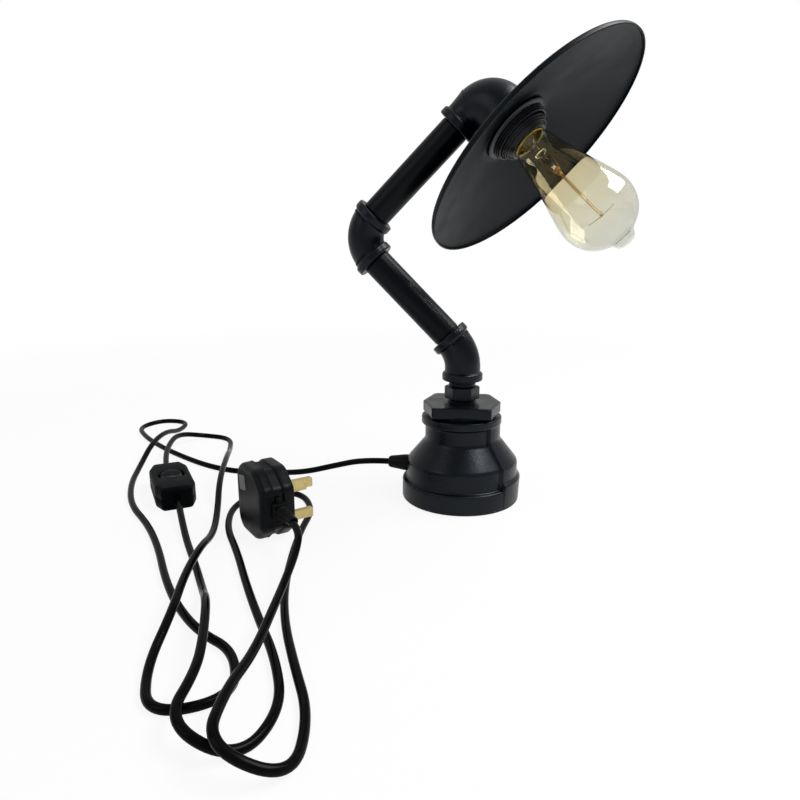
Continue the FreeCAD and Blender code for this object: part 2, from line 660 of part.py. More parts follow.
def filament(button, spider, wire):
    """Long hairpin strands between the lower and upper support wires."""
    strands = []
    arms = []
    count = 4
    near, far = S["strand_low"], S["strand_high"]
    low, high = button + 5.0, spider - 2.0
    lean = math.degrees(math.atan2((far - near).value, (high - low).value))
    rise = math.hypot((far - near).value, (high - low).value)
    inner = S["rod_radius"] + 0.05
    for index in range(count):
        angle = 360.0 / count * index
        c, s = math.cos(math.radians(angle)), math.sin(math.radians(angle))
        turn = Rotation(Z_AXIS, angle) * Rotation(Y_AXIS, lean)
        strands.append(cylinder(wire, rise, x=near * c, y=near * s, z=low, turn=turn))
        outward = Rotation(Z_AXIS, angle) * Rotation(Y_AXIS, 90)
        for reach, level in ((S["spider_radius"], high + 0.9), (near + wire, low - 0.9)):
            arms.append(cylinder(0.3, reach - inner, x=inner * c, y=inner * s, z=level, turn=outward))
    keep(compound(*strands), "filament", LIGHT)
    keep(compound(*arms), "filament_supports", LIGHT)


# ---------------------------------------------------------------- cord

FLOOR = S["cord_diameter"].value / 2
HUMP = 12.4
TALL = 17.0
GRIP_AXIS = S["grip_height"].value
SWITCH_AXIS = S["switch_axis"].value
PLUG_AXIS = S["plug_width"].value / 2
SWITCH_SPOT = Vector(-225, -48, 0)
SWITCH_ALONG = Vector(0.6, -0.8, 0)
PLUG_SPOT = Vector(-124, -99, PLUG_AXIS)
PLUG_CABLE = Vector(math.sqrt(0.5), -math.sqrt(0.5), 0)
SWITCH = Placement(SWITCH_SPOT, Rotation(SWITCH_ALONG, Z_AXIS.cross(SWITCH_ALONG), Z_AXIS, "ZXY"))
PLUG_PINS = Z_AXIS.cross(PLUG_CABLE)
PLUG = Placement(PLUG_SPOT, Rotation(Z_AXIS, PLUG_CABLE * -1, PLUG_PINS * -1, "ZXY"))


def lamp_route(grip_tip):
    """Route points of the cord from the base to the switch."""
    end = SWITCH_SPOT - SWITCH_ALONG * (S["switch_length"].value / 2)
    return [
        (-grip_tip, 0, GRIP_AXIS), (-80, 1, 23.5), (-105, 4, 16), (-136, 10, 5.5), (-168, 12, FLOOR),
        (-199, 9, FLOOR), (-229, 18, FLOOR), (-265, 38, FLOOR), (-301, 62, FLOOR), (-335, 90, FLOOR),
        (-361, 120, FLOOR), (-351, 152, FLOOR), (-319, 150, FLOOR), (-311, 116, FLOOR), (-305, 80, HUMP),
        (-297, 42, HUMP), (-287, 4, FLOOR), (-269, -38, FLOOR), (-243, -78, FLOOR), (-210, -108, FLOOR),
        (-182, -141, FLOOR), (-157, -176, FLOOR), (-134, -203, FLOOR), (-110, -224, FLOOR),
        (-84, -236, FLOOR), (-69, -268, FLOOR), (-101, -287, FLOOR), (-119, -258, FLOOR),
        (-124, -224, HUMP), (-137, -188, HUMP), (-146, -152, HUMP), (-157, -114, FLOOR),
        (-172, -77, FLOOR), (-190, -36, HUMP), (-211, 22, HUMP), (-229, 64, FLOOR), (-245, 101, FLOOR),
        (-277, 106, FLOOR), (-289, 75, HUMP), (-278, 38, HUMP), (-261, 3, 10.5),
        (end.x, end.y, SWITCH_AXIS)]


def plug_route():
    """Route points of the cord from the switch to the plug."""
    start = SWITCH_SPOT + SWITCH_ALONG * (S["switch_length"].value / 2)
    end = PLUG_SPOT + PLUG_CABLE * (S["plug_length"].value / 2 + S["plug_relief"].value)
    return [
        (start.x, start.y, SWITCH_AXIS), (-191, -96, 6.5), (-169, -128, FLOOR), (-148, -156, FLOOR),
        (-127, -186, FLOOR), (-112, -210, HUMP), (-98, -240, HUMP), (-88, -266, HUMP), (-84, -300, HUMP),
        (-52, -303, FLOOR), (-46, -271, FLOOR), (-62, -238, FLOOR), (-86, -204, FLOOR),
        (-107, -172, FLOOR), (-129, -136, FLOOR), (-154, -100, FLOOR), (-166, -62, FLOOR),
        (-155, -31, FLOOR), (-124, -28, FLOOR), (-104, -58, FLOOR), (-100, -98, FLOOR),
        (-92, -137, FLOOR), (-82, -175, FLOOR), (-69, -208, FLOOR), (-52, -240, FLOOR),
        (-33, -273, FLOOR), (-28, -308, FLOOR), (-60, -313, TALL), (-66, -282, TALL), (-68, -250, HUMP),
        (-73, -216, HUMP), (-78, -184, HUMP), (-80, -158, 19), (-85.1, -137.9, 24),
        (end.x, end.y, PLUG_AXIS)]


def route_wire(points):
    """Straight runs joined by tangent arcs, with the smallest arc radius."""
    spots = [Vector(*p) for p in points]
    edges = []
    smallest = 1e9
    here = spots[0]
    for before, corner, after in zip(spots, spots[1:], spots[2:]):
        incoming, outgoing = corner - before, after - corner
        run = min(incoming.Length, outgoing.Length)
        incoming.normalize()
        outgoing.normalize()
        half = incoming.getAngle(outgoing) / 2
        take = 0.45 * run
        smallest = min(smallest, take / math.tan(half))
        start, end = corner - incoming * take, corner + outgoing * take
        bisector = (outgoing - incoming).normalize()
        radius = take / math.tan(half)
        middle = corner + bisector * (radius / math.cos(half) - radius)
        edges.append(Part.LineSegment(here, start).toShape())
        edges.append(Part.Arc(start, middle, end).toShape())
        here = end
    edges.append(Part.LineSegment(here, spots[-1]).toShape())
    return Part.Wire(edges), smallest


def soft_tube(label, points, diameter, frame=None):
    """A round cord along its route."""
    wire, smallest = route_wire(points)
    start = Vector(*points[0])
    along = (Vector(*points[1]) - start).normalize()
    rim = Part.Wire(Part.Circle(start, along, diameter.value / 2).toShape())
    solid = wire.makePipeShell([rim], True, False)
    feature = DOC.addObject("Part::Feature", label)
    feature.Shape = solid
    keep(feature, label, frame or Placement())
    section = math.pi * diameter.value ** 2 / 4
    print("%s: length %.1f, smallest bend %.1f, volume ratio %.4f"
          % (label, wire.Length, smallest, solid.Volume / (section * wire.Length)))


# ---------------------------------------------------------------- leads inside the lamp

def leads(grip_tip, block_top):
    """Inner leads; each pair of ends meets on the axis of the joint between them."""
    size = S["lead_diameter"]
    tip = grip_tip.value
    top = block_top.value
    level = S["grip_height"].value
    entry = [(-tip, 0, level), (-16, 0, level), (-3, 0, level - 0.6), (-3, 0, top + GAP.value)]
    soft_tube("base_lead", entry, size)
    z1 = nipple_top.value - 2
    soft_tube("riser_lead", [(5, 0, top + GAP.value), (5, 0, top + 12), (0, 0, top + 26), (0, 0, z1)], size)
    corner = lower_corner.value
    span, reach = S["lower_span"].value, S["square_reach"].value
    meet = span - reach + 4
    gap = GAP.value
    low_point = LOWER.multVec(Vector(0, 0, meet - gap))
    soft_tube("lower_lead", [(0, 0, z1 + gap), (0, 0, corner), tuple(low_point)], size)
    upper_meet = S["upper_span"].value - S["inlet_reach"].value + 4
    start = LOWER.multVec(Vector(0, 0, meet))
    finish = UPPER.multVec(Vector(0, 0, upper_meet - gap))
    soft_tube("upper_lead", [tuple(start), tuple(MIDDLE.Base), tuple(finish)], size)
    head_start = UPPER.multVec(Vector(0, 0, upper_meet))
    finish = LIGHT.multVec(Vector(0, 0, S["holder_back"].value + 1.7))
    soft_tube("head_lead", [tuple(head_start), tuple(HEAD.Base), tuple(finish)], size)


# ---------------------------------------------------------------- switch

def switch():
    length, width, height = S["switch_length"], S["switch_width"], S["switch_height"]
    parting, wall, corner = S["switch_parting"], S["switch_wall"], S["switch_round"]
    end = length / 2
    narrow = width / 2 - 4
    corners = ((-end, -narrow), (-end + 12, -width / 2), (end - 12, -width / 2), (end, -narrow),
               (end, narrow), (end - 12, width / 2), (-end + 12, width / 2), (-end, narrow))
    lower = rounded(padded("switch_lower", corners, parting - 0.1), corner * 0.7, stands)
    lower = rounded(lower, 2.0, lies_at(0.0))
    hollow = block(length - wall * 2 - 16, width - wall * 2 - 4, parting, z=wall)
    bore = cylinder(S["cord_diameter"] / 2 + FIT, length, x=-end, z=S["switch_axis"],
                    turn=Rotation(Y_AXIS, 90))
    keep(cut(lower, hollow, bore), "switch_base", SWITCH)
    upper = rounded(padded("switch_upper", corners, height - parting - 0.1, z=parting + 0.1),
                    corner * 0.7, stands)
    upper = rounded(upper, 3.2, lies_at(height.value))
    hollow_up = block(length - wall * 2 - 16, width - wall * 2 - 4, height - parting - wall, z=parting)
    window = cylinder(S["rocker_radius"] + 1.5, height, z=parting)
    bore_up = cylinder(S["cord_diameter"] / 2 + FIT, length, x=-end, z=S["switch_axis"],
                       turn=Rotation(Y_AXIS, 90))
    keep(cut(upper, hollow_up, window, bore_up), "switch_cover", SWITCH)
    rocker()
    for name, sign in (("switch_stub_in", -1.0), ("switch_stub_out", 1.0)):
        turn = Rotation(Y_AXIS, 90.0 * sign)
        stub = cylinder(S["cord_diameter"] / 2, 11.0 - GAP, x=(end - 11.0) * sign, z=S["switch_axis"],
                        turn=turn)
        keep(stub, name, SWITCH)
    blades = [block(6.0, 5.0, 4.0, x=x, z=wall + GAP) for x in (-16.5, 16.5)]
    keep(compound(*blades), "switch_terminals", SWITCH)


def rocker():
    """Round see-saw key on a pin across the switch, pressed down at one end."""
    reach, rise, dip = S["rocker_radius"], S["rocker_rise"], S["rocker_dip"]
    half = reach + 1
    outline = ((-half, -1.8), (half, -1.8), (half, rise), (0.0, rise - dip), (-half, rise))
    body, sketch = body_with_sketch("rocker_key", "XZ_Plane", outline)
    pad = body.newObject("PartDesign::Pad", "rocker_pad")
    pad.Profile = sketch
    pad.Midplane = True
    bind(pad, Length=half * 2)
    body.Tip = pad
    plan = cylinder(reach, 16.0, z=-4.0)
    hole = cylinder(1.5 + RUN, half * 2 + 2, y=half + 1, turn=Rotation(X_AXIS, 90))
    pivot = S["rocker_pivot"].value
    tilted = Placement(Vector(0, 0, pivot), Rotation(Y_AXIS, S["rocker_tilt"].value))
    keep(cut(common(body, plan), hole), "rocker", SWITCH * tilted)
    reach_y = S["switch_width"] / 2 - S["switch_wall"] - 2.1
    pin = cylinder(1.5, reach_y * 2, y=reach_y, z=S["rocker_pivot"], turn=Rotation(X_AXIS, 90))
    keep(pin, "rocker_pin", SWITCH)


# ---------------------------------------------------------------- plug

def plug():
    """Three-pin plug; its face is at z = -depth/2 with the pins along -Z, its cord along -Y."""
    half, end, depth = S["plug_width"] / 2, S["plug_length"] / 2, S["plug_depth"]
    corners = ((-11.0, -end), (11.0, -end), (half, -end + 17), (half, end - 9), (half - 7, end),
               (-half + 7, end), (-half, end - 9), (-half, -end + 17))
    face = -depth / 2
    parting = face + S["plug_parting"]
    base = rounded(padded("plug_base_block", corners, S["plug_parting"] - 0.1, z=face), 5.0, stands)
    base = rounded(base, 1.0, lies_at(face.value))
    well = block(34.0, 26.0, S["plug_parting"], z=face + 4)
    bore = cylinder(S["cord_diameter"] / 2 + FIT, 16.0, y=-end - 1, turn=Rotation(X_AXIS, -90))
    pins = (("earth", 0.0, 10.0, 4.0, 8.0, S["earth_pin_length"]),
            ("line", 11.1, -12.2, 6.35, 4.0, S["live_pin_length"]),
            ("neutral", -11.1, -12.2, 6.35, 4.0, S["live_pin_length"]))
    slots = [block(w + 0.2, t + 0.2, 8.0, x=x, y=y, z=face - 1) for _, x, y, w, t, _ in pins]
    screw_well = cylinder(3.1, 5.0, z=face - 1)
    keep(cut(base, well, bore, screw_well, *slots), "plug_base", PLUG)
    cover = rounded(padded("plug_cover_block", corners, depth - S["plug_parting"] - 0.1, z=parting + 0.1),
                    5.0, stands)
    cover = rounded(cover, 3.6, lies_at(depth.value / 2))
    keep(cover, "plug_cover", PLUG)
    for name, x, y, w, t, long in pins:
        blade = block(w, t, long + 6.5, x=x, y=y, z=face - long)
        tip = rounded(blade, 1.2, lies_at((face - long).value))
        keep(tip, name + "_pin", PLUG)
    fuse_rear = S["fuse_length"] / 2
    tube_turn = Rotation(X_AXIS, -90)
    fuse_parts = fuse(cylinder(S["fuse_diameter"] / 2 - 0.2, S["fuse_length"] - 2, x=11.1, y=-fuse_rear + 1,
                               z=-1.2, turn=tube_turn),
                      cylinder(S["fuse_diameter"] / 2, 6.0, x=11.1, y=-fuse_rear, z=-1.2, turn=tube_turn),
                      cylinder(S["fuse_diameter"] / 2, 6.0, x=11.1, y=fuse_rear - 6, z=-1.2,
                               turn=tube_turn))
    keep(fuse_parts, "plug_fuse", PLUG)
    screw = cut(cylinder(3.0, 3.0, z=face + 0.4), block(5.4, 0.9, 1.2, z=face + 0.3))
    keep(screw, "plug_screw", PLUG)
    relief = cut(cone(5.2, 3.9, S["plug_relief"], y=-end, turn=Rotation(X_AXIS, 90)),
                 cylinder(S["cord_diameter"] / 2 + FIT, S["plug_relief"] + 2, y=-end + 1,
                          turn=Rotation(X_AXIS, 90)))
    keep(relief, "plug_relief", PLUG)
    stub = cylinder(S["cord_diameter"] / 2, S["plug_relief"] + 14, y=GAP - end - S["plug_relief"],
                    turn=Rotation(X_AXIS, -90))
    keep(stub, "plug_stub", PLUG)


# ---------------------------------------------------------------- build, check and export

def build():
    reducing_socket()
    reducing_bush()
    hex_nipple()
    block_top = base_closure()
    grip_tip = cord_grip()
    arm()
    shade(lampholder())
    bulb()
    soft_tube("lamp_cord", lamp_route(grip_tip.value), S["cord_diameter"])
    soft_tube("plug_cord", plug_route(), S["cord_diameter"])
    leads(grip_tip, block_top)
    switch()
    plug()


def export():
    DOC.recompute()
    os.makedirs("parts", exist_ok=True)
    bad = []
    for thing in DOC.Objects:
        if "Invalid" in thing.State or "Error" in thing.State:
            bad.append(thing.Label + " " + str(thing.State))
    for label, thing in PARTS.items():
        shape = thing.Shape
        if shape.isNull() or not shape.isValid() or not shape.Solids:
            bad.append(label + " has no valid shape")
    if bad:
        raise RuntimeError("; ".join(bad))
    for label, thing in PARTS.items():
        thing.Shape.exportStep("parts/%s.step" % label)
        box = thing.Shape.BoundBox
        print("%-20s solids %2d volume %9.1f  x %7.1f..%7.1f y %7.1f..%7.1f z %6.1f..%6.1f" % (
            label, len(thing.Shape.Solids), thing.Shape.Volume, box.XMin, box.XMax, box.YMin, box.YMax,
            box.ZMin, box.ZMax))


build()
export()
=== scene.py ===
"""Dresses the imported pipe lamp: finishes, cord, bulb, shade, threads, light and camera."""

import logging
import math
from dataclasses import dataclass, field
from enum import Enum
from typing import Any, Optional, Sequence, Union

import bmesh
import bpy
from mathutils import Matrix, Vector


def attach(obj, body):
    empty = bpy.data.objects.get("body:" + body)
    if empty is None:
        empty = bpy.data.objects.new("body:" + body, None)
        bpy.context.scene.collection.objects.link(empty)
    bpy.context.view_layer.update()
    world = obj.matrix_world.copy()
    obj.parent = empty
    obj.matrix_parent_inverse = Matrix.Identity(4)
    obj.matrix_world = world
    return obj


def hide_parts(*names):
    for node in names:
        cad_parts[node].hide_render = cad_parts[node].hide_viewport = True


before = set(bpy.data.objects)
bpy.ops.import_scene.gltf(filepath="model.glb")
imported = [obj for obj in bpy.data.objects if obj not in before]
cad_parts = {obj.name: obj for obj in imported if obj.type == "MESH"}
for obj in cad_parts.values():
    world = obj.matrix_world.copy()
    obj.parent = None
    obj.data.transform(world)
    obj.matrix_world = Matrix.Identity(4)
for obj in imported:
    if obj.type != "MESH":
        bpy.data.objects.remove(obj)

LOG = logging.getLogger("pipe_lamp")
MM = 0.001
Colour = tuple[float, float, float]
Point = tuple[float, float, float]
Corner = tuple[float, float, float]
Profile = list[tuple[float, float]]
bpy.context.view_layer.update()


class Body(str, Enum):
    """The rigid bodies that pieces ride on."""

    BASE = "base"
    LOWER_ARM = "lower_arm"
    UPPER_ARM = "upper_arm"
    HEAD = "head"
    BULB = "bulb"
    ROCKER = "rocker_key"


# ------------------------------------------------------------------ node graphs


@dataclass(frozen=True)
class Socket:
    """An output socket that can be used in plain arithmetic."""

    graph: "Graph"
    port: bpy.types.NodeSocket

    def math(self, operation: str, *others: "Feed") -> "Socket":
        """Adds a Math node.

        Args:
            operation: The Math node's operation.
            others: The further operands.

        Returns:
            The node's result.
        """
        inputs = dict(enumerate((self, *others)))
        return self.graph.node("ShaderNodeMath", {"operation": operation}, inputs)

    def __add__(self, other: "Feed") -> "Socket":
        """Sum."""
        return self.math("ADD", other)

    def __sub__(self, other: "Feed") -> "Socket":
        """Difference."""
        return self.math("SUBTRACT", other)

    def __mul__(self, other: "Feed") -> "Socket":
        """Product."""
        return self.math("MULTIPLY", other)

    def __truediv__(self, other: "Feed") -> "Socket":
        """Quotient."""
        return self.math("DIVIDE", other)


Feed = Union[float, Sequence[float], str, bool, Socket, Any]


class Graph:
    """A shader or geometry tree with one way to make nodes."""

    def __init__(self, tree: bpy.types.NodeTree) -> None:
        """Keeps the tree that nodes are added to."""
        self.tree = tree

    def node(
        self,
        kind: str,
        settings: Optional[dict[str, Any]] = None,
        inputs: Optional[dict[Union[str, int], Feed]] = None,
        output: Union[str, int] = 0,
    ) -> Socket:
        """Adds a node.

        Args:
            kind: The node's type.
            settings: Its properties, set first; "stops" fills a colour ramp.
            inputs: Values or links by socket name or number.
            output: The output that is wanted.

        Returns:
            That output.
        """
        made = self.tree.nodes.new(kind)
        for key, value in (settings or {}).items():
            if key == "stops":
                self._stops(made.color_ramp, value)
            else:
                setattr(made, key, value)
        for key, value in (inputs or {}).items():
            port = made.inputs[key]
            if isinstance(value, Socket):
                self.tree.links.new(value.port, port)
            else:
                port.default_value = value
        return Socket(self, made.outputs[output]) if len(made.outputs) else Socket(self, None)

    @staticmethod
    def _stops(ramp: bpy.types.ColorRamp, stops: Sequence[tuple[float, Sequence[float]]]) -> None:
        """Fills a colour ramp with (position, colour) stops."""
        while len(ramp.elements) < len(stops):
            ramp.elements.new(0.5)
        for element, (position, colour) in zip(ramp.elements, stops):
            element.position = position
            element.color = (*colour, 1.0)

    def noise(self, where: Socket, scale: float, detail: float = 2.0, rough: float = 0.5) -> Socket:
        """Noise around 0.5.

        Args:
            where: The coordinates.
            scale: Features per metre.
            detail: Octaves.
            rough: Share kept by each octave.

        Returns:
            The noise value.
        """
        return self.node(
            "ShaderNodeTexNoise",
            None,
            {"Vector": where, "Scale": scale, "Detail": detail, "Roughness": rough},
        )

    def band(self, value: Socket, low: float, high: float, at_low: float, at_high: float) -> Socket:
        """Maps a range of values smoothly onto another.

        Args:
            value: What is mapped.
            low: Start of the input range.
            high: End of the input range.
            at_low: Result at the start.
            at_high: Result at the end.

        Returns:
            The mapped value.
        """
        return self.node(
            "ShaderNodeMapRange",
            {"interpolation_type": "SMOOTHSTEP"},
            {0: value, 1: low, 2: high, 3: at_low, 4: at_high},
        )

    def blend(self, share: Feed, first: Feed, second: Feed) -> Socket:
        """Mixes two colours.

        Args:
            share: How much of the second.
            first: Colour at 0.
            second: Colour at 1.

        Returns:
            The mixed colour.
        """
        inputs = {0: share, 6: _rgba(first), 7: _rgba(second)}
        return self.node("ShaderNodeMix", {"data_type": "RGBA"}, inputs, 2)

    def bump(self, height: Socket, distance: float, strength: float = 1.0) -> Socket:
        """A normal from a height in units of the distance.

        Args:
            height: Height map.
            distance: Metres per unit of height.
            strength: How far the normal turns.

        Returns:
            The normal.
        """
        return self.node(
            "ShaderNodeBump", None, {"Height": height, "Distance": distance, "Strength": strength}
        )


def bare_graph(owner: Union[bpy.types.Material, bpy.types.World]) -> Graph:
    """The empty node graph of a new material or world."""
    owner.use_nodes = True
    owner.node_tree.nodes.clear()
    return Graph(owner.node_tree)


def _rgba(colour: Feed) -> Feed:
    """Adds an alpha to a plain colour."""
    return colour if isinstance(colour, Socket) else (*colour, 1.0)


# ------------------------------------------------------------------ finishes


@dataclass(frozen=True)
class Finish:
    """A surface finish that makes one material."""

    name: str
    colour: Colour
    roughness: float = 0.5

    def shade(self, graph: Graph, where: Socket) -> dict[str, Feed]:
        """Inputs of the Principled shader.

        Args:
            graph: The material's graph; not used by the plain finish.
            where: Object coordinates; not used by the plain finish.

        Returns:
            Socket names and their feeds.
        """
        return {"Base Color": _rgba(self.colour), "Roughness": self.roughness}

    def material(self) -> bpy.types.Material:
        """The finish as a material, made once."""
        found = bpy.data.materials.get(self.name)
        if found is not None:
            return found
        made = bpy.data.materials.new(self.name)
        graph = bare_graph(made)
        where = graph.node("ShaderNodeTexCoord", None, None, "Object")
        surface = graph.node("ShaderNodeBsdfPrincipled", None, self.shade(graph, where))
        graph.node("ShaderNodeOutputMaterial", None, {"Surface": surface})
        made.diffuse_color = (*self.colour, 1.0)
        return made


@dataclass(frozen=True)
class CastIron(Finish):
    """Black malleable castings: a sandy skin under a thin satin paint."""

    grain: float = 1500.0
    relief: float = 0.00009
    shine: float = 0.3
    gleam: Colour = (0.82, 0.9, 1.0)

    def shade(self, graph: Graph, where: Socket) -> dict[str, Feed]:
        """See Finish.shade."""
        sand = graph.noise(where, self.grain, 3.0, 0.6)
        lumps = graph.noise(where, self.grain / 7.0, 2.0, 0.5)
        cloud = graph.noise(where, 60.0, 3.0, 0.6)
        dust = graph.band(cloud, 0.38, 0.75, 0.0, 0.5)
        pits = graph.band(sand, 0.28, 0.4, 1.0, 0.0)
        pale = tuple(min(1.0, c * 1.6 + 0.004) for c in self.colour)
        tint = graph.blend(dust, self.colour, pale)
        tint = graph.blend(pits * 0.6, tint, tuple(c * 0.4 for c in self.colour))
        height = sand + lumps * 1.6
        low, high = self.roughness - 0.07, self.roughness + 0.09
        return {
            "Base Color": tint,
            "Roughness": graph.band(cloud + sand * 0.4, 0.4, 1.0, low, high),
            "Normal": graph.bump(height, self.relief, 0.5),
            "Specular IOR Level": self.shine,
            "Specular Tint": _rgba(self.gleam),
        }


@dataclass(frozen=True)
class SatinPaint(Finish):
    """Smooth satin paint on pipe and sheet, with a faint orange peel and dusty patches."""

    peel: float = 900.0
    relief: float = 0.00002
    streak: float = 0.35
    shine: float = 0.3
    gleam: Colour = (0.92, 0.96, 1.0)

    def shade(self, graph: Graph, where: Socket) -> dict[str, Feed]:
        """See Finish.shade."""
        peel = graph.noise(where, self.peel, 2.0, 0.5)
        cloud = graph.noise(where, 45.0, 3.0, 0.6)
        speck = graph.noise(where, 2600.0, 1.0, 0.5)
        dust = graph.band(cloud, 0.35, 0.8, 0.0, self.streak)
        pale = tuple(min(1.0, c * 1.4 + 0.003) for c in self.colour)
        tint = graph.blend(dust, self.colour, pale)
        tint = graph.blend(graph.band(speck, 0.8, 0.88, 0.0, 0.2), tint, (0.12, 0.12, 0.115))
        return {
            "Base Color": tint,
            "Roughness": graph.band(cloud, 0.3, 0.8, self.roughness - 0.05, self.roughness + 0.07),
            "Normal": graph.bump(peel, self.relief, 0.4),
            "Specular IOR Level": self.shine,
            "Specular Tint": _rgba(self.gleam),
        }


@dataclass(frozen=True)
class Moulded(Finish):
    """Moulded plastic or rubber with a fine spark texture and handling marks."""

    grain: float = 2600.0
    relief: float = 0.00003
    coat: float = 0.0
    shine: float = 0.3

    def shade(self, graph: Graph, where: Socket) -> dict[str, Feed]:
        """See Finish.shade."""
        grain = graph.noise(where, self.grain, 2.0, 0.6)
        cloud = graph.noise(where, 70.0, 3.0, 0.6)
        pale = tuple(min(1.0, c * 1.5 + 0.003) for c in self.colour)
        low, high = self.roughness - 0.06, self.roughness + 0.06
        return {
            "Base Color": graph.blend(graph.band(cloud, 0.4, 0.8, 0.0, 0.7), self.colour, pale),
            "Roughness": graph.band(cloud * 0.6 + grain * 0.4, 0.35, 0.7, low, high),
            "Normal": graph.bump(grain, self.relief, 0.5),
            "Coat Weight": self.coat,
            "Coat Roughness": 0.15,
            "Specular IOR Level": self.shine,
        }


@dataclass(frozen=True)
class Metal(Finish):
    """Bare or plated metal with rubbed brightness, tarnish and fine scratches."""

    tarnish: Colour = (0.35, 0.22, 0.08)
    amount: float = 0.5

    def shade(self, graph: Graph, where: Socket) -> dict[str, Feed]:
        """See Finish.shade."""
        cloud = graph.noise(where, 240.0, 4.0, 0.65)
        long_way = graph.node("ShaderNodeMapping", None, {"Vector": where, "Scale": (1.0, 1.0, 14.0)})
        scratch = graph.noise(long_way, 900.0, 2.0, 0.6)
        tone = graph.band(cloud, 0.42, 0.72, 0.0, self.amount)
        low, high = self.roughness - 0.08, self.roughness + 0.12
        return {
            "Base Color": graph.blend(tone, self.colour, self.tarnish),
            "Metallic": 1.0,
            "Roughness": graph.band(cloud * 0.5 + scratch * 0.5, 0.35, 0.7, low, high),
            "Normal": graph.bump(scratch, 0.000012, 0.4),
        }


@dataclass(frozen=True)
class BlownGlass(Finish):
    """Blown glass with slow waves, darker seen edge-on (partly painted shade) and washed with amber near
    its neck.
    """

    neck: Colour = (0.93, 0.86, 0.76)
    axis: Point = (0.0, 0.0, 1.0)
    start: float = 0.0
    length: float = 1.0
    bend: float = 1.45
    edge: float = 0.75

    def shade(self, graph: Graph, where: Socket) -> dict[str, Feed]:
        """See Finish.shade."""
        wave = graph.noise(where, 38.0, 1.0, 0.4)
        cloud = graph.noise(where, 32.0, 2.0, 0.5)
        along = graph.node("ShaderNodeVectorMath", {"operation": "DOT_PRODUCT"},
                           {0: where, 1: self.axis}, "Value")
        share = (along - self.start) / self.length + (cloud - 0.5) * 0.35
        low = graph.band(along, self.start - 0.02, self.start - 0.004, 0.25, 1.0)
        tint = graph.blend(graph.band(share, 0.0, 1.0, 1.0, 0.0) * low, self.colour, self.neck)
        # Darker seen edge-on: partly the longer path through the glass, partly painted shade for the dark
        # reflections along the edges.
        edge_on = graph.node("ShaderNodeLayerWeight", None, {"Blend": 0.5}, "Facing")
        edge_path_and_shade = graph.band(edge_on, 0.62, 0.93, 0.0, self.edge)
        tint = graph.blend(edge_path_and_shade, tint, tuple(c * 0.4 for c in self.colour))
        return {
            "Base Color": tint,
            "Roughness": self.roughness,
            "Transmission Weight": 1.0,
            "IOR": self.bend,
            "Normal": graph.bump(wave, 0.0004, 0.05),
        }


class Finishes:
    """Every finish of the lamp."""

    casting = CastIron("black_casting", (0.0006, 0.0014, 0.0032), 0.29, relief=0.00016, shine=0.24)
    # A lighter tone of the black casting, used for the bush.
    lighter_casting = CastIron("bush_casting", (0.0026, 0.0036, 0.0056), 0.3, 1500.0, 0.00009, 0.2)
    thread = CastIron("cut_thread", (0.003, 0.0037, 0.0055), 0.3, 1900.0, 0.00003, 0.2)
    pipe = SatinPaint("black_pipe", (0.0006, 0.0016, 0.0032), 0.33, relief=0.00001, shine=0.13)
    plate = SatinPaint("base_plate_paint", (0.015, 0.015, 0.017), 0.5)
    enamel = SatinPaint("shade_enamel", (0.002, 0.0045, 0.006), 0.4, 700.0, 0.00003, 0.4, 0.11)
    holder = Moulded("holder_moulding", (0.0012, 0.0018, 0.0042), 0.26, 2200.0, 0.00002, 0.0, 0.2)
    # Far lighter than the holder moulding: a painted reflection of the pale floor on the ring's flat
    # flange.
    flange = Moulded("ring_painted_reflection", (0.03, 0.034, 0.037), 0.3, 2200.0, 0.00002, 0.0, 0.2)
    plug = Moulded("plug_moulding", (0.002, 0.0028, 0.0038), 0.38, shine=0.12)
    panel = Moulded("blank_grey_panel", (0.17, 0.17, 0.168), 0.5, 2200.0, 0.00002)
    switch = Moulded("switch_moulding", (0.002, 0.0028, 0.0034), 0.42, shine=0.02)
    rocker = Moulded("rocker_moulding", (0.003, 0.0036, 0.0046), 0.28, 2200.0, 0.00001, 0.05, 0.12)
    grip = Moulded("grip_rubber", (0.0032, 0.0036, 0.004), 0.46, 1800.0, 0.00003, 0.0, 0.1)
    cord = Moulded("cord_sheath", (0.0012, 0.0013, 0.0016), 0.2, 1300.0, 0.00002, 0.05, 0.03)
    sleeve = Moulded("core_sleeve", (0.72, 0.72, 0.7), 0.5)
    felt = Moulded("foot_pad_rubber", (0.012, 0.012, 0.012), 0.85, 3200.0, 0.00015)
    ceramic = Moulded("glazed_ceramic", (0.72, 0.7, 0.65), 0.25, 600.0, 0.00002, 0.4)
    vitrite = Moulded("black_vitrite", (0.012, 0.012, 0.015), 0.2, 600.0, 0.00001, 0.4)
    brass = Metal("aged_brass", (0.62, 0.43, 0.13), 0.3)
    shell = Metal("brass_shell", (0.78, 0.56, 0.17), 0.28, (0.42, 0.26, 0.06), 0.35)
    pin = Metal("pin_brass", (0.62, 0.5, 0.22), 0.34, (0.36, 0.27, 0.09), 0.4)
    cap = Metal("cap_brass", (0.6, 0.42, 0.08), 0.3, (0.3, 0.2, 0.03), 0.5)
    solder = Metal("dull_solder", (0.55, 0.55, 0.56), 0.5, (0.3, 0.3, 0.3))
    zinc = Metal("zinc_screw", (0.5, 0.5, 0.48), 0.35, (0.28, 0.26, 0.22))
    wire = Metal("support_wire", (0.17, 0.15, 0.13), 0.4, (0.08, 0.06, 0.05))
    copper = Metal("copper_bead", (0.72, 0.36, 0.16), 0.4, (0.42, 0.18, 0.07), 0.4)
    glow = Metal("gold_strand", (0.66, 0.45, 0.11), 0.4, (0.44, 0.26, 0.05))
    amber = BlownGlass("amber_glass", (0.8, 0.805, 0.74), 0.0, (0.78, 0.72, 0.545),
                       (0.6855, -0.2453, -0.6855), -0.128, 0.075)
    clear = BlownGlass("clear_glass", (0.985, 0.985, 0.97), 0.0, (0.97, 0.97, 0.95), bend=1.5, edge=0.0)


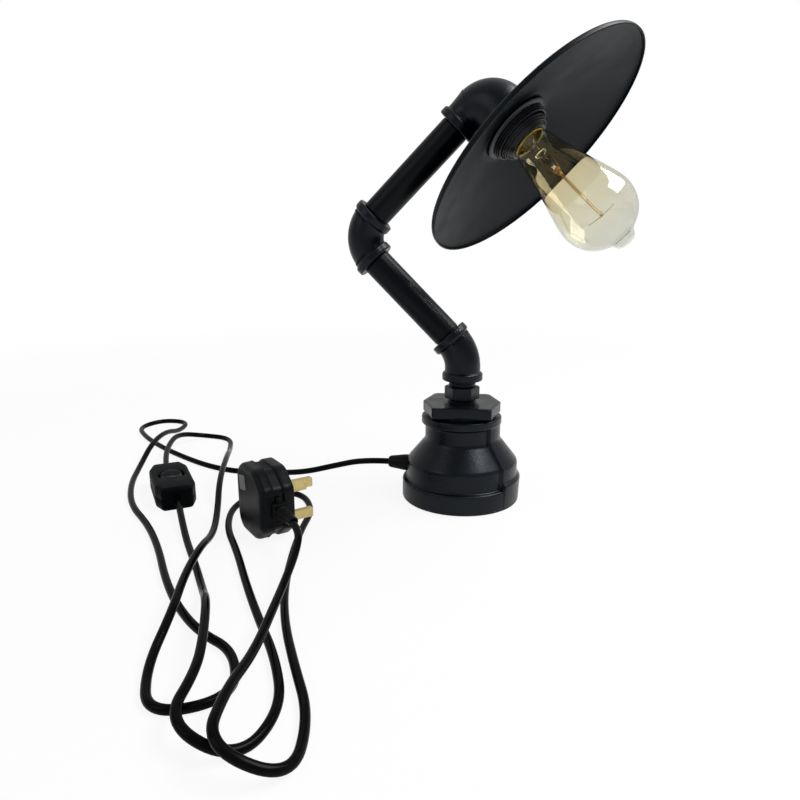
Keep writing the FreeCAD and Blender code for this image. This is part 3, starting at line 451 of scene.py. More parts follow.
FINISH_NODES: tuple[tuple[Finish, str], ...] = (
    (Finishes.casting, "reducing_socket reducing_bush hex_nipple lower_elbow middle_elbow head_elbow"),
    (Finishes.pipe, "lower_pipe upper_pipe"),
    (Finishes.plate, "base_plate"),
    (Finishes.felt, "foot_pad"),
    (Finishes.zinc, "earth_screw terminal_screws rocker_pin plug_screw"),
    (Finishes.sleeve, "terminal_block riser_lead lower_lead upper_lead head_lead"),
    (Finishes.grip, "cord_grip grip_nut plug_relief"),
    (Finishes.holder, "lampholder_body"),
    (Finishes.flange, "shade_ring"),
    (Finishes.enamel, "shade"),
    (Finishes.ceramic, "holder_insert plug_fuse"),
    (Finishes.brass, "centre_contact switch_terminals"),
    (Finishes.shell, "screw_shell"),
    (Finishes.amber, "bulb_glass"),
    (Finishes.cap, "bulb_cap"),
    (Finishes.vitrite, "cap_insulator"),
    (Finishes.solder, "cap_contact"),
    (Finishes.clear, "bulb_stem"),
    (Finishes.glow, "filament"),
    (Finishes.wire, "filament_supports"),
    (Finishes.cord, "lamp_cord plug_cord base_lead switch_stub_in switch_stub_out plug_stub"),
    (Finishes.switch, "switch_base switch_cover"),
    (Finishes.rocker, "rocker"),
    (Finishes.plug, "plug_base plug_cover"),
    (Finishes.pin, "earth_pin line_pin neutral_pin"),
)
NODE_FINISHES = {node: finish for finish, nodes in FINISH_NODES for node in nodes.split()}


def dress_nodes() -> None:
    """Gives every CAD node its finish."""
    for name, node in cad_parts.items():
        node.data.materials.clear()
        node.data.materials.append(NODE_FINISHES[name].material())
        LOG.info("node %s: %s", name, NODE_FINISHES[name].name)


# ------------------------------------------------------------------ mesh making


class Ends(Enum):
    """How the first and last ring of a skin are closed."""

    LOOP = "loop"
    POLES = "poles"


@dataclass(frozen=True)
class Fit:
    """Where a piece belongs: its body, finish, material slot and the nodes it stands for."""

    body: Body
    finish: Finish
    slot: str
    nodes: tuple[str, ...] = ()


def stand(name: str, data: bpy.types.ID) -> bpy.types.Object:
    """Adds an object with the given data to the scene."""
    made = bpy.data.objects.new(name, data)
    bpy.context.scene.collection.objects.link(made)
    return made


def settle(name: str, mesh: bpy.types.Mesh, fit: Fit) -> bpy.types.Object:
    """Makes a finished mesh a piece of the lamp.

    Args:
        name: The piece's name.
        mesh: Its mesh, in metres and in the lamp's frame.
        fit: Where it belongs.

    Returns:
        The piece.
    """
    mesh.name = name
    mesh.materials.clear()
    mesh.materials.append(fit.finish.material())
    piece = stand(name, mesh)
    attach(piece, fit.body.value)
    if fit.nodes:
        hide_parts(*fit.nodes)
    LOG.info("%s: %d faces on %s", name, len(mesh.polygons), fit.body.value)
    return piece


def around(count: int) -> list[float]:
    """Angles evenly round a circle."""
    return [2.0 * math.pi * k / count for k in range(count)]


def circle(radius: float, z: float, turns: Sequence[float]) -> list[Point]:
    """A round ring about Z.

    Args:
        radius: Its radius.
        z: Its height.
        turns: The angles of its points.

    Returns:
        The ring's points.
    """
    return [(radius * math.cos(a), radius * math.sin(a), z) for a in turns]


def soften(corners: Sequence[Corner], closed: bool = True, steps: int = 6) -> Profile:
    """Rounds the corners of an outline.

    Args:
        corners: Corners as (x, y, radius).
        closed: Whether the last corner joins the first.
        steps: Spans of each arc.

    Returns:
        The outline's points.
    """
    points: Profile = []
    count = len(corners)
    for index, (x, y, radius) in enumerate(corners):
        if radius <= 0.0 or (not closed and index in (0, count - 1)):
            points.append((x, y))
            continue
        here = Vector((x, y))
        before = Vector(corners[index - 1][:2]) - here
        after = Vector(corners[(index + 1) % count][:2]) - here
        half = before.angle(after) / 2.0
        if half > math.radians(89.0):
            points.append((x, y))
            continue
        take = min(radius / math.tan(half), 0.47 * before.length, 0.47 * after.length)
        start, end = here + before.normalized() * take, here + after.normalized() * take
        way = (before.normalized() + after.normalized()).normalized()
        middle = here + way * (take / math.cos(half))
        first, last = start - middle, end - middle
        turn = math.atan2(first.x * last.y - first.y * last.x, first.dot(last))
        for step in range(steps + 1):
            arm = Matrix.Rotation(turn * step / steps, 2) @ first
            points.append((middle.x + arm.x, middle.y + arm.y))
    return points


class Outline:
    """A closed outline round the origin, drawn as rings at any height."""

    def __init__(self, corners: Sequence[Corner], span: float = 1.6, steps: int = 6) -> None:
        """Samples the outline.

        Args:
            corners: Corners as (x, y, radius), counter-clockwise.
            span: Longest distance between two points.
            steps: Spans of each rounded corner.
        """
        rough = soften(corners, True, steps)
        self.points: list[Vector] = []
        for first, last in zip(rough, rough[1:] + rough[:1]):
            a, b = Vector(first), Vector(last)
            parts = max(1, math.ceil((b - a).length / span))
            self.points += [a.lerp(b, k / parts) for k in range(parts) if (b - a).length > 1e-6]
        count = len(self.points)
        self.outward: list[Vector] = []
        for index in range(count):
            along = self.points[(index + 1) % count] - self.points[index - 1]
            self.outward.append(Vector((along.y, -along.x)).normalized())

    def ring(self, z: float, inset: float = 0.0, limit: float = 1e6,
             shrink: float = 1.0) -> list[Point]:
        """A ring of the outline.

        Args:
            z: Its height.
            inset: How far it lies inside the outline.
            limit: Largest distance from the axis.
            shrink: Scale about the axis, after the inset.

        Returns:
            The ring's points.
        """
        ring = []
        for point, outward in zip(self.points, self.outward):
            spot = (point - outward * inset) * shrink
            if spot.length > limit:
                spot = spot * (limit / spot.length)
            ring.append((spot.x, spot.y, z))
        return ring

    def hole(self, z: float, radius: float, x: float = 0.0) -> list[Point]:
        """A round ring with the outline's number of points, seen from (x, 0)."""
        centre = Vector((x, 0.0))
        arms = [(point - centre).normalized() * radius for point in self.points]
        return [(x + arm.x, arm.y, z) for arm in arms]


def box_outline(half_x: float, half_y: float, radius: float, span: float) -> Outline:
    """A rounded rectangle about the origin.

    Args:
        half_x: Half its width.
        half_y: Half its depth.
        radius: Radius of its corners.
        span: Longest distance between two points.

    Returns:
        The outline.
    """
    signs = ((-1, -1), (1, -1), (1, 1), (-1, 1))
    return Outline([(x * half_x, y * half_y, radius) for x, y in signs], span)


class Skin:
    """Surfaces through rings of points."""

    def __init__(self, frame_matrix: Matrix, fit: Fit) -> None:
        """Keeps the place and the fit of what is made.

        Args:
            frame_matrix: Place of the piece's own axes, in millimetres.
            fit: Where the piece belongs.
        """
        self.place = frame_matrix
        self.fit = fit
        self.shape = bmesh.new()

    def add(self, rings: Sequence[Sequence[Point]], ends: Ends = Ends.LOOP) -> "Skin":
        """Adds a closed surface through rings with equal numbers of points.

        Args:
            rings: The rings in order.
            ends: How the ends are closed.

        Returns:
            This skin, so that more can be added.
        """
        shape = self.shape
        rows = [[shape.verts.new((self.place @ Vector(p)) * MM) for p in ring] for ring in rings]
        pairs = list(zip(rows, rows[1:]))
        if ends is Ends.LOOP:
            pairs.append((rows[-1], rows[0]))
        count = len(rows[0])
        for near, far in pairs:
            for k in range(count):
                j = (k + 1) % count
                shape.faces.new((near[k], near[j], far[j], far[k]))
        if ends is Ends.POLES:
            for row in (rows[0], rows[-1]):
                middle = sum((v.co for v in row), Vector()) / count
                pole = shape.verts.new(middle)
                for k in range(count):
                    shape.faces.new((row[k], row[(k + 1) % count], pole))
        return self

    def lathe(self, profile: Profile, ends: Ends = Ends.LOOP, count: int = 96,
              low: float = 0.0) -> "Skin":
        """Adds a turned surface.

        Args:
            profile: Points as (radius, height).
            ends: How it is closed; a profile that starts and ends on the axis has poles.
            count: Points round the axis.
            low: Height that the profile is measured from.

        Returns:
            This skin.
        """
        turns = around(count)
        return self.add([circle(r, z + low, turns) for r, z in profile], ends)

    def tube(self, points: Sequence[Point], radius: Union[float, Sequence[float]],
             count: int = 12) -> "Skin":
        """Adds a round wire along points.

        Args:
            points: The middle line.
            radius: One radius, or one for each point.
            count: Points round the wire.

        Returns:
            This skin.
        """
        spots = [Vector(p) for p in points]
        radii = [radius] * len(spots) if isinstance(radius, float) else list(radius)
        side: Optional[Vector] = None
        rings = []
        for index, spot in enumerate(spots):
            ahead = spots[min(index + 1, len(spots) - 1)] - spots[max(index - 1, 0)]
            ahead.normalize()
            side = ahead.orthogonal() if side is None else side - ahead * side.dot(ahead)
            side.normalize()
            other = ahead.cross(side)
            rings.append([tuple(spot + (side * math.cos(a) + other * math.sin(a)) * radii[index])
                          for a in around(count)])
        return self.add(rings, Ends.POLES)

    def finish(self, name: str, sharp: float = 38.0) -> bpy.types.Object:
        """Closes the surface and makes it a piece.

        Args:
            name: The piece's name.
            sharp: Angle in degrees above which an edge stays crisp.

        Returns:
            The piece.
        """
        shape = self.shape
        bmesh.ops.remove_doubles(shape, verts=shape.verts, dist=2e-7)
        bmesh.ops.recalc_face_normals(shape, faces=shape.faces)
        mesh = bpy.data.meshes.new(name)
        shape.to_mesh(mesh)
        shape.free()
        mesh.shade_smooth()
        mesh.set_sharp_from_angle(angle=math.radians(sharp))
        return settle(name, mesh, self.fit)


class Repeat(Enum):
    """What a Geometry Nodes tree repeats."""

    RINGS = "rings"
    HELIX = "helix"
    BARS = "bars"


@dataclass(frozen=True)
class Ridges:
    """Ridges repeated by Geometry Nodes: rings, a screw thread or bars along Z."""

    kind: Repeat
    radius: float
    pitch: float
    count: int
    ridge: float
    slope: float = 0.0
    length: float = 6.0

    def _tree(self) -> bpy.types.GeometryNodeTree:
        """The node tree for this kind of ridge, made once."""
        title = "ridges_" + self.kind.value
        found = bpy.data.node_groups.get(title)
        if found is not None:
            return found
        tree = bpy.data.node_groups.new(title, "GeometryNodeTree")
        kinds = {"Radius": "Float", "Pitch": "Float", "Count": "Int", "Ridge": "Float",
                 "Slope": "Float", "Length": "Float", "Finish": "Material"}
        for label, kind in kinds.items():
            tree.interface.new_socket(name=label, in_out="INPUT", socket_type="NodeSocket" + kind)
        tree.interface.new_socket(name="Geometry", in_out="OUTPUT",
                                  socket_type="NodeSocketGeometry")
        graph = Graph(tree)
        sizes = tree.nodes.new("NodeGroupInput")
        given = {label: Socket(graph, sizes.outputs[label]) for label in kinds}
        section = graph.node("GeometryNodeCurvePrimitiveCircle", None,
                             {"Resolution": 8, "Radius": given["Ridge"]})
        if self.kind is Repeat.HELIX:
            path = graph.node("GeometryNodeCurveSpiral", None, {
                "Resolution": 64, "Rotations": given["Count"], "Start Radius": given["Radius"],
                "End Radius": given["Radius"] + given["Slope"],
                "Height": given["Pitch"] * given["Count"]})
            whole = self._sweep(graph, path, section)
        else:
            if self.kind is Repeat.RINGS:
                path = graph.node("GeometryNodeCurvePrimitiveCircle", None,
                                  {"Resolution": 96, "Radius": given["Radius"]})
            else:
                half = given["Length"] * 0.5
                ends = [graph.node("ShaderNodeCombineXYZ", None,
                                   {"X": given["Radius"], "Y": half * sign}) for sign in (-1.0, 1.0)]
                path = graph.node("GeometryNodeCurvePrimitiveLine", None,
                                  {"Start": ends[0], "End": ends[1]})
            step = graph.node("ShaderNodeCombineXYZ", None, {"Z": given["Pitch"]})
            line = graph.node("GeometryNodeMeshLine", None,
                              {"Count": given["Count"], "Offset": step})
            number = graph.node("GeometryNodeInputIndex")
            grown = number * given["Slope"] + 1.0
            scale = graph.node("ShaderNodeCombineXYZ", None, {"X": grown, "Y": grown, "Z": 1.0})
            one = self._sweep(graph, path, section)
            whole = graph.node("GeometryNodeInstanceOnPoints", None,
                               {"Points": line, "Instance": one, "Scale": scale})
        real = graph.node("GeometryNodeRealizeInstances", None, {"Geometry": whole})
        dressed = graph.node("GeometryNodeSetMaterial", None,
                             {"Geometry": real, "Material": given["Finish"]})
        graph.node("NodeGroupOutput", None, {"Geometry": dressed})
        return tree

    @staticmethod
    def _sweep(graph: Graph, path: Socket, section: Socket) -> Socket:
        """A tube along a path."""
        return graph.node("GeometryNodeCurveToMesh", None,
                          {"Curve": path, "Profile Curve": section, "Fill Caps": True})

    def bake(self, name: str, place: Matrix, fit: Fit) -> bpy.types.Object:
        """Turns the ridges into a plain mesh on their body.

        Args:
            name: The piece's name.
            place: Place of the first ridge, in millimetres.
            fit: Where the piece belongs.

        Returns:
            The piece.
        """
        tree = self._tree()
        values = {"Radius": self.radius * MM, "Pitch": self.pitch * MM, "Count": self.count,
                  "Ridge": self.ridge * MM, "Slope": self.slope, "Length": self.length * MM,
                  "Finish": fit.finish.material()}
        carrier = stand(name + "_carrier", bpy.data.meshes.new(name + "_blank"))
        modifier = carrier.modifiers.new("ridges", "NODES")
        modifier.node_group = tree
        for item in tree.interface.items_tree:
            if item.in_out == "INPUT":
                modifier[item.identifier] = values[item.name]
        solved = carrier.evaluated_get(bpy.context.evaluated_depsgraph_get())
        mesh = bpy.data.meshes.new_from_object(solved)
        carrier.modifiers.clear()
        bpy.data.objects.remove(carrier)
        shift = Matrix.Translation(place.translation * MM) @ place.to_3x3().to_4x4()
        mesh.transform(shift)
        shape = bmesh.new()
        shape.from_mesh(mesh)
        bmesh.ops.recalc_face_normals(shape, faces=shape.faces)
        shape.to_mesh(mesh)
        shape.free()
        mesh.shade_smooth()
        mesh.set_sharp_from_angle(angle=math.radians(50.0))
        return settle(name, mesh, fit)


@dataclass(frozen=True)
class Frames:
    """Places of the lamp's axes, in millimetres."""

    lower_corner: float = 116.2
    lower_span: float = 119.4
    upper_span: float = 135.5
    head_turn: float = 14.2
    grip_height: float = 24.2

    @property
    def base(self) -> Matrix:
        """The lamp's own axes."""
        return Matrix.Identity(4)

    @property
    def lower(self) -> Matrix:
        """The lower pipe, from the corner of the first elbow."""
        return Matrix.Translation((0, 0, self.lower_corner)) @ turn_about("Y", -45.0)

    @property
    def lower_elbow(self) -> Matrix:
        """The first elbow, which opens towards -X."""
        return Matrix.Translation((0, 0, self.lower_corner)) @ turn_about("Z", 180.0)

    @property
    def middle(self) -> Matrix:
        """The second elbow."""
        return self.lower @ Matrix.Translation((0, 0, self.lower_span))

    @property
    def upper(self) -> Matrix:
        """The upper pipe, from the corner of the second elbow."""
        return Matrix.Translation(self.middle.translation) @ turn_about("Y", 45.0)

    @property
    def head(self) -> Matrix:
        """The head elbow."""
        along = Matrix.Translation((0, 0, self.upper_span))
        return self.upper @ along @ turn_about("Z", -self.head_turn)

    @property
    def light(self) -> Matrix:
        """Lampholder, shade and bulb, with Z along the bulb."""
        return self.head @ turn_about("Y", 90.0)

    @property
    def grip(self) -> Matrix:
        """The cord's way out of the base."""
        return Matrix.Translation((0, 0, self.grip_height)) @ turn_about("Y", -90.0)

    @property
    def switch(self) -> Matrix:
        """The switch, with X along its cord."""
        return axes((-225.0, -48.0, 0.0), (0.6, -0.8, 0.0), (0.8, 0.6, 0.0), (0.0, 0.0, 1.0))

    @property
    def plug(self) -> Matrix:
        """The plug, with its pins along -Z and its cord along -Y."""
        k = math.sqrt(0.5)
        return axes((-124.0, -99.0, 25.0), (0.0, 0.0, 1.0), (-k, k, 0.0), (-k, -k, 0.0))


def turn_about(axis: str, degrees: float) -> Matrix:
    """A turn about one axis, in degrees."""
    return Matrix.Rotation(math.radians(degrees), 4, axis)


def axes(spot: Point, x: Point, y: Point, z: Point) -> Matrix:
    """A frame from its origin and axes.

    Args:
        spot: The origin.
        x: First axis.
        y: Second axis.
        z: Third axis.

    Returns:
        The frame.
    """
    turn = Matrix((x, y, z)).transposed().to_4x4()
    return Matrix.Translation(spot) @ turn


FRAMES = Frames()


# ------------------------------------------------------------------ base


@dataclass
class FootCasting:
    """The reducing socket that stands on its wide end, with its casting pads."""

    foot: float = 45.9
    foot_height: float = 15.7
    barrel: float = 42.0
    bore: float = 37.7
    neck: float = 28.1
    collar: float = 31.0
    height: float = 66.8
    mouth: float = 24.0
    pads: tuple[tuple[float, float], ...] = ((-2.0, 36.0), (132.0, 8.0))
    count: int = 360

    def _outside(self) -> tuple[Profile, Profile]:
        """The plain outline and the outline over a pad, with matching points."""
        top = self.height
        plain = [
            (self.bore, 0.0, 0.5), (self.foot, 0.0, 1.8), (self.foot, self.foot_height, 1.5),
            (self.barrel + 0.3, self.foot_height + 0.2, 1.5), (self.barrel, 31.0, 6.5),
            (self.neck, 47.8, 6.0), (self.neck, 59.6, 2.0), (self.collar, 60.9, 1.3),
            (self.collar, top, 1.3), (self.mouth, top, 0.5)]
        pad = [
            (self.bore, 0.0, 0.5), (self.foot, 0.0, 1.8), (self.foot + 0.9, 19.3, 1.5),
            (self.barrel + 2.2, 21.7, 1.5), (self.barrel + 2.2, 31.6, 5.0),
            (self.neck + 2.2, 49.2, 5.0), (self.neck + 2.2, 60.6, 0.6), (self.collar, 61.8, 1.0),
            (self.collar, top, 1.3), (self.mouth, top, 0.5)]
        first, second = soften(plain, False), soften(pad, False)
        short = min(len(first), len(second))
        return first[:short], second[:short]

    def _share(self, angle: float) -> float:
        """How much of the pad stands at an angle."""
        best = 0.0
        for centre, half in self.pads:
            away = abs((math.degrees(angle) - centre + 180.0) % 360.0 - 180.0)
            t = min(1.0, max(0.0, (half + 1.0 - away) / 2.0))
            best = max(best, t * t * (3.0 - 2.0 * t))
        return best

    def build(self) -> None:
        """Makes the casting."""
        plain, pad = self._outside()
        inside = soften([(self.mouth, self.height - 0.4, 0.0), (self.mouth, 46.4, 1.0),
                         (self.bore - 1.2, 33.0, 1.0), (self.bore, 31.8, 0.4), (self.bore, 0.6, 0.0)],
                        False)
        turns = around(self.count)
        shares = [self._share(a) for a in turns]
        rings: list[list[Point]] = []
        for (r0, z0), (r1, z1) in zip(plain, pad):
            ring = []
            for a, share in zip(turns, shares):
                r, z = r0 + (r1 - r0) * share, z0 + (z1 - z0) * share
                ring += circle(r, z, (a,))
            rings.append(ring)
        rings += [circle(r, z, turns) for r, z in inside]
        fit = Fit(Body.BASE, Finishes.casting, "casting", ("reducing_socket",))
        Skin(FRAMES.base, fit).add(rings).finish("base_casting", 42.0)


@dataclass
class Bush:
    """The long hexagon bush in the neck of the casting."""

    low: float = 69.2
    height: float = 8.2
    bearing: float = 6.0
    corners: tuple[tuple[float, float], ...] = (
        (-22, -26.5), (22, -26.5), (30, 0), (22, 26.5), (-22, 26.5), (-30, 0))
    thread: float = 10.7
    shank: float = 23.8

    def build(self) -> None:
        """Makes the bush."""
        outline = Outline([(x, y, 1.6) for x, y in self.corners], 1.2)
        low, top = self.low, self.low + self.height
        rings = [outline.ring(low, 0.9)]
        rings += [outline.ring(low + 0.25, 0.3), outline.ring(low + 0.9)]
        for share in (0.45, 0.6, 0.7, 0.78, 0.86, 0.93):
            z = low + self.height * share
            rings.append(outline.ring(z, 0.0, 33.2 + top - z))
        rings += [outline.ring(top - 0.25, 0.12, 33.3), outline.ring(top, 0.8, 32.5),
                  outline.ring(top, 2.2, 31.0), outline.hole(top - 0.15, 14.0),
                  outline.hole(top - 0.1, self.thread + 0.7), outline.hole(top - 0.8, self.thread),
                  outline.hole(low - 15.0, self.thread), outline.hole(low - 15.0, self.shank),
                  outline.hole(low - 0.4, self.shank), outline.hole(low, self.shank + 0.4)]
        fit = Fit(Body.BASE, Finishes.lighter_casting, "casting", ("reducing_bush",))
        place = turn_about("Z", self.bearing)
        Skin(place, fit).add(rings).finish("neck_bush", 30.0)


@dataclass
class Nipple:
    """The hexagon nipple that joins the bush and the first elbow."""

    low: float = 79.6
    height: float = 10.1
    flats: float = 23.6
    bearing: float = 6.0
    thread: float = 9.85
    bore: float = 7.2
    pitch: float = 1.81
    ridge: float = 0.55
    turns: int = 3
    low_thread: float = 75.0
    high_thread: float = 89.9

    def build(self) -> None:
        """Makes the nut and its two threads."""
        reach = self.flats / math.sqrt(3.0)
        turns = [math.radians(60.0 * k) for k in range(6)]
        corners = [(reach * math.cos(a), reach * math.sin(a), 0.9) for a in turns]
        outline = Outline(corners, 0.8)
        low, top, wide = self.low, self.low + self.height, self.flats / 2 + 0.9
        rings = [outline.hole(low - 14.0, self.bore), outline.hole(low - 14.0, self.thread),
                 outline.hole(low - 0.3, self.thread), outline.hole(low, self.thread + 0.4),
                 outline.ring(low, 0.9, wide - 0.5)]
        for rise in (0.25, 0.6, 1.0, 1.5):
            rings.append(outline.ring(low + rise, 0.3 if rise < 0.5 else 0.0, wide + rise - 0.2))
        for rise in (1.5, 1.0, 0.6, 0.25):
            rings.append(outline.ring(top - rise, 0.3 if rise < 0.5 else 0.0, wide + rise - 0.2))
        rings += [outline.ring(top, 0.9, wide - 0.5), outline.hole(top, self.thread + 0.4),
                  outline.hole(top + 0.3, self.thread), outline.hole(top + 12.0, self.thread),
                  outline.hole(top + 12.0, self.bore)]
        fit = Fit(Body.BASE, Finishes.casting, "casting", ("hex_nipple",))
        place = turn_about("Z", self.bearing)
        Skin(place, fit).add(rings).finish("hex_nipple_body", 30.0)
        cut_thread = Fit(Body.BASE, Finishes.thread, "casting")
        helix = Ridges(Repeat.HELIX, self.thread, self.pitch, self.turns, self.ridge)
        for name, start in (("nipple_thread_low", self.low_thread),
                            ("nipple_thread_high", self.high_thread)):
            helix.bake(name, Matrix.Translation((0, 0, start)), cut_thread)


@dataclass
class CordRelief:
    """The tapered rubber cone that lets the cord out of the base."""

    face: float = 42.3
    big: float = 6.4
    small: float = 4.5
    tip: float = 58.2
    bore: float = 2.45
    stem: float = 5.0
    first_ring: float = 49.0

    def build(self) -> None:
        """Makes the cone and its shallow rings."""
        profile = soften([
            (self.bore, self.face - 10.6, 0.0), (self.stem, self.face - 10.6, 0.3),
            (self.stem, self.face - 1.6, 0.0), (self.big + 0.2, self.face - 1.6, 0.8),
            (self.big, self.face + 3.0, 1.2), (self.small + 0.2, self.tip - 1.4, 1.2),
            (self.small - 0.8, self.tip, 0.6), (self.bore, self.tip, 0.2)])
        fit = Fit(Body.BASE, Finishes.grip, "grip", ("cord_grip",))
        Skin(FRAMES.grip, fit).lathe(profile, Ends.LOOP, 64).finish("cord_relief")
        rings = Ridges(Repeat.RINGS, radius=5.25, pitch=2.6, count=3, ridge=0.35, slope=-0.045)
        rings.bake("relief_rings", FRAMES.grip @ Matrix.Translation((0, 0, self.first_ring)),
                   Fit(Body.BASE, Finishes.grip, "grip"))


# ------------------------------------------------------------------ elbows


@dataclass(frozen=True)
class Station:
    """A round section of an elbow in its XZ plane."""

    x: float
    z: float
    inward_x: float
    inward_z: float
    radius: float

    def ring(self, count: int) -> list[Point]:
        """The section's points."""
        return [(self.x + self.inward_x * self.radius * math.cos(a), self.radius * math.sin(a),
                 self.z + self.inward_z * self.radius * math.cos(a)) for a in around(count)]

    @staticmethod
    def between(inner: tuple[float, float], outer: tuple[float, float]) -> "Station":
        """The section whose edge passes through two points."""
        a, b = Vector(inner), Vector(outer)
        inward = (a - b).normalized()
        middle = (a + b) / 2
        return Station(middle.x, middle.y, inward.x, inward.y, (a - b).length / 2)


@dataclass
class Mouth:
    """The rolled band round a mouth, as radii along the way out."""

    bead: float = 15.5
    length: float = 5.8
    body: float = 13.6
    bore: float = 10.48
    roll: float = 2.0

    def profile(self, reach: float) -> Profile:
        """Points as (radius, distance from the corner), from the body to the bore."""
        low = reach - self.length
        corners = [(self.body, low - 3.2, 0.0), (self.body, low - 0.9, 1.6),
                   (self.body + 0.9, low - 0.5, 0.5), (self.bead, low + 0.5, self.roll),
                   (self.bead, reach, self.roll), (self.bead - 2.6, reach - 0.1, 0.4),
                   (self.bore + 0.9, reach - 0.5, 0.4), (self.bore, reach - 1.2, 0.0)]
        return soften(corners, False)


@dataclass
class PipeElbow:
    """A plain elbow that bends by an angle, with a band at each mouth."""

    name: str
    body: Body
    place: Matrix
    angle: float
    bend: float
    reach_in: float
    reach_out: float
    node: str
    mouth: Mouth = field(default_factory=Mouth)
    inner: float = 9.2
    count: int = 96

    def _leg(self, profile: Profile, turn: float) -> list[Station]:
        """Sections of a straight leg whose way out is turned from -Z by an angle."""
        a = math.radians(turn)
        if turn == 0.0:
            return [Station(0.0, -s, 1.0, 0.0, r) for r, s in profile]
        return [Station(s * math.sin(a), s * math.cos(a), math.cos(a), -math.sin(a), r)
                for r, s in profile]

    def _arc(self, radius: float, steps: int = 18) -> list[Station]:
        """Sections round the bend, from the inlet to the outlet."""
        tangent = self.bend * math.tan(math.radians(self.angle) / 2)
        found = []
        for step in range(steps + 1):
            a = math.radians(self.angle) * step / steps
            found.append(Station(self.bend - self.bend * math.cos(a),
                                 -tangent + self.bend * math.sin(a), math.cos(a), -math.sin(a),
                                 radius))
        return found

    def build(self) -> None:
        """Makes the elbow."""
        way_in = self.mouth.profile(self.reach_in)
        way_out = self.mouth.profile(self.reach_out)
        outside = list(reversed(self._leg(way_in, 0.0))) + self._arc(self.mouth.body)
        outside += self._leg(way_out, self.angle)
        deep = [(self.inner, self.reach_out - 11.6), (self.mouth.bore, self.reach_out - 11.4)]
        shallow = [(self.mouth.bore, self.reach_in - 11.4), (self.inner, self.reach_in - 11.6)]
        hollow = list(reversed(self._leg(deep, self.angle))) + list(reversed(self._arc(self.inner)))
        hollow += self._leg(list(reversed(shallow)), 0.0)
        rings = [station.ring(self.count) for station in outside + hollow]
        fit = Fit(self.body, Finishes.casting, "casting", (self.node,))
        Skin(self.place, fit).add(rings).finish(self.name, 44.0)


@dataclass
class HeadElbow:
    """The elbow that widens in one sweep from the pipe to the lampholder."""

    reach_in: float = 28.5
    reach_out: float = 30.0
    small: float = 13.7
    sweep: float = 31.2
    ahead: float = 16.9
    down: float = 11.4
    wide: float = 19.8
    outlet_bore: float = 17.7
    bead: float = 25.5
    bead_length: float = 6.4
    back_start: float = 20.0
    back_length: float = 13.0
    throat_round: float = 2.6
    throat_lift: float = 4.2
    count: int = 112
    mouth: Mouth = field(default_factory=lambda: Mouth(bead=15.6, body=13.7))

    def _bend(self, steps: int = 26) -> list[Station]:
        """Sections of the sweep: the outside runs round the back, the inside round the throat."""
        outer: list[tuple[float, float]] = []
        for step in range(7):
            t = step / 6
            outer.append((-self.small - (self.sweep - self.ahead - self.small) * t,
                          -self.back_start + self.back_length * t))
        for step in range(1, steps + 1):
            a = math.pi - math.pi / 2 * step / steps
            outer.append((self.ahead + self.sweep * math.cos(a), -self.down + self.sweep * math.sin(a)))
        last = len(outer) - 1
        curl = self.throat_round
        found = []
        for index, point in enumerate(outer):
            t = index / last
            a = math.pi - math.pi / 2 * t
            inner = (self.small + curl + curl * math.cos(a),
                     -self.wide - curl + curl * math.sin(a) + self.throat_lift * (1.0 - t) ** 2)
            found.append(Station.between(inner, point))
        return found

    def _outlet(self) -> list[Station]:
        """Sections of the outlet, its band and its bore."""
        low, reach = self.reach_out - self.bead_length, self.reach_out
        corners = [(self.wide, 18.0, 0.0), (self.wide, low - 1.1, 1.8), (self.wide + 1.2, low - 0.7, 0.5),
                   (self.bead, low + 0.5, 2.2), (self.bead, reach, 2.2), (self.bead - 3.0, reach, 0.5),
                   (self.outlet_bore + 1.0, reach - 0.4, 0.5), (self.outlet_bore, reach - 1.4, 0.0),
                   (self.outlet_bore, 14.0, 0.0)]
        return [Station(s, 0.0, 0.0, -1.0, r) for r, s in soften(corners, False)]

    def build(self) -> None:
        """Makes the elbow."""
        way_in = self.mouth.profile(self.reach_in)
        inlet = [Station(0.0, -s, 1.0, 0.0, r) for r, s in reversed(way_in)]
        hollow = [Station(9.0, -0.6, 0.15, -0.99, 17.0), Station(3.0, -4.0, 0.6, -0.8, 13.0),
                  Station(0.5, -9.0, 0.95, -0.3, 10.0), Station(0.0, -14.0, 1.0, 0.0, 9.3),
                  Station(0.0, -17.2, 1.0, 0.0, 9.2), Station(0.0, -17.4, 1.0, 0.0, 10.48)]
        sections = inlet + self._bend() + self._outlet() + hollow
        rings = [station.ring(self.count) for station in sections]
        fit = Fit(Body.HEAD, Finishes.casting, "casting", ("head_elbow",))
        Skin(FRAMES.head, fit).add(rings).finish("head_casting", 46.0)


# ------------------------------------------------------------------ lampholder and shade


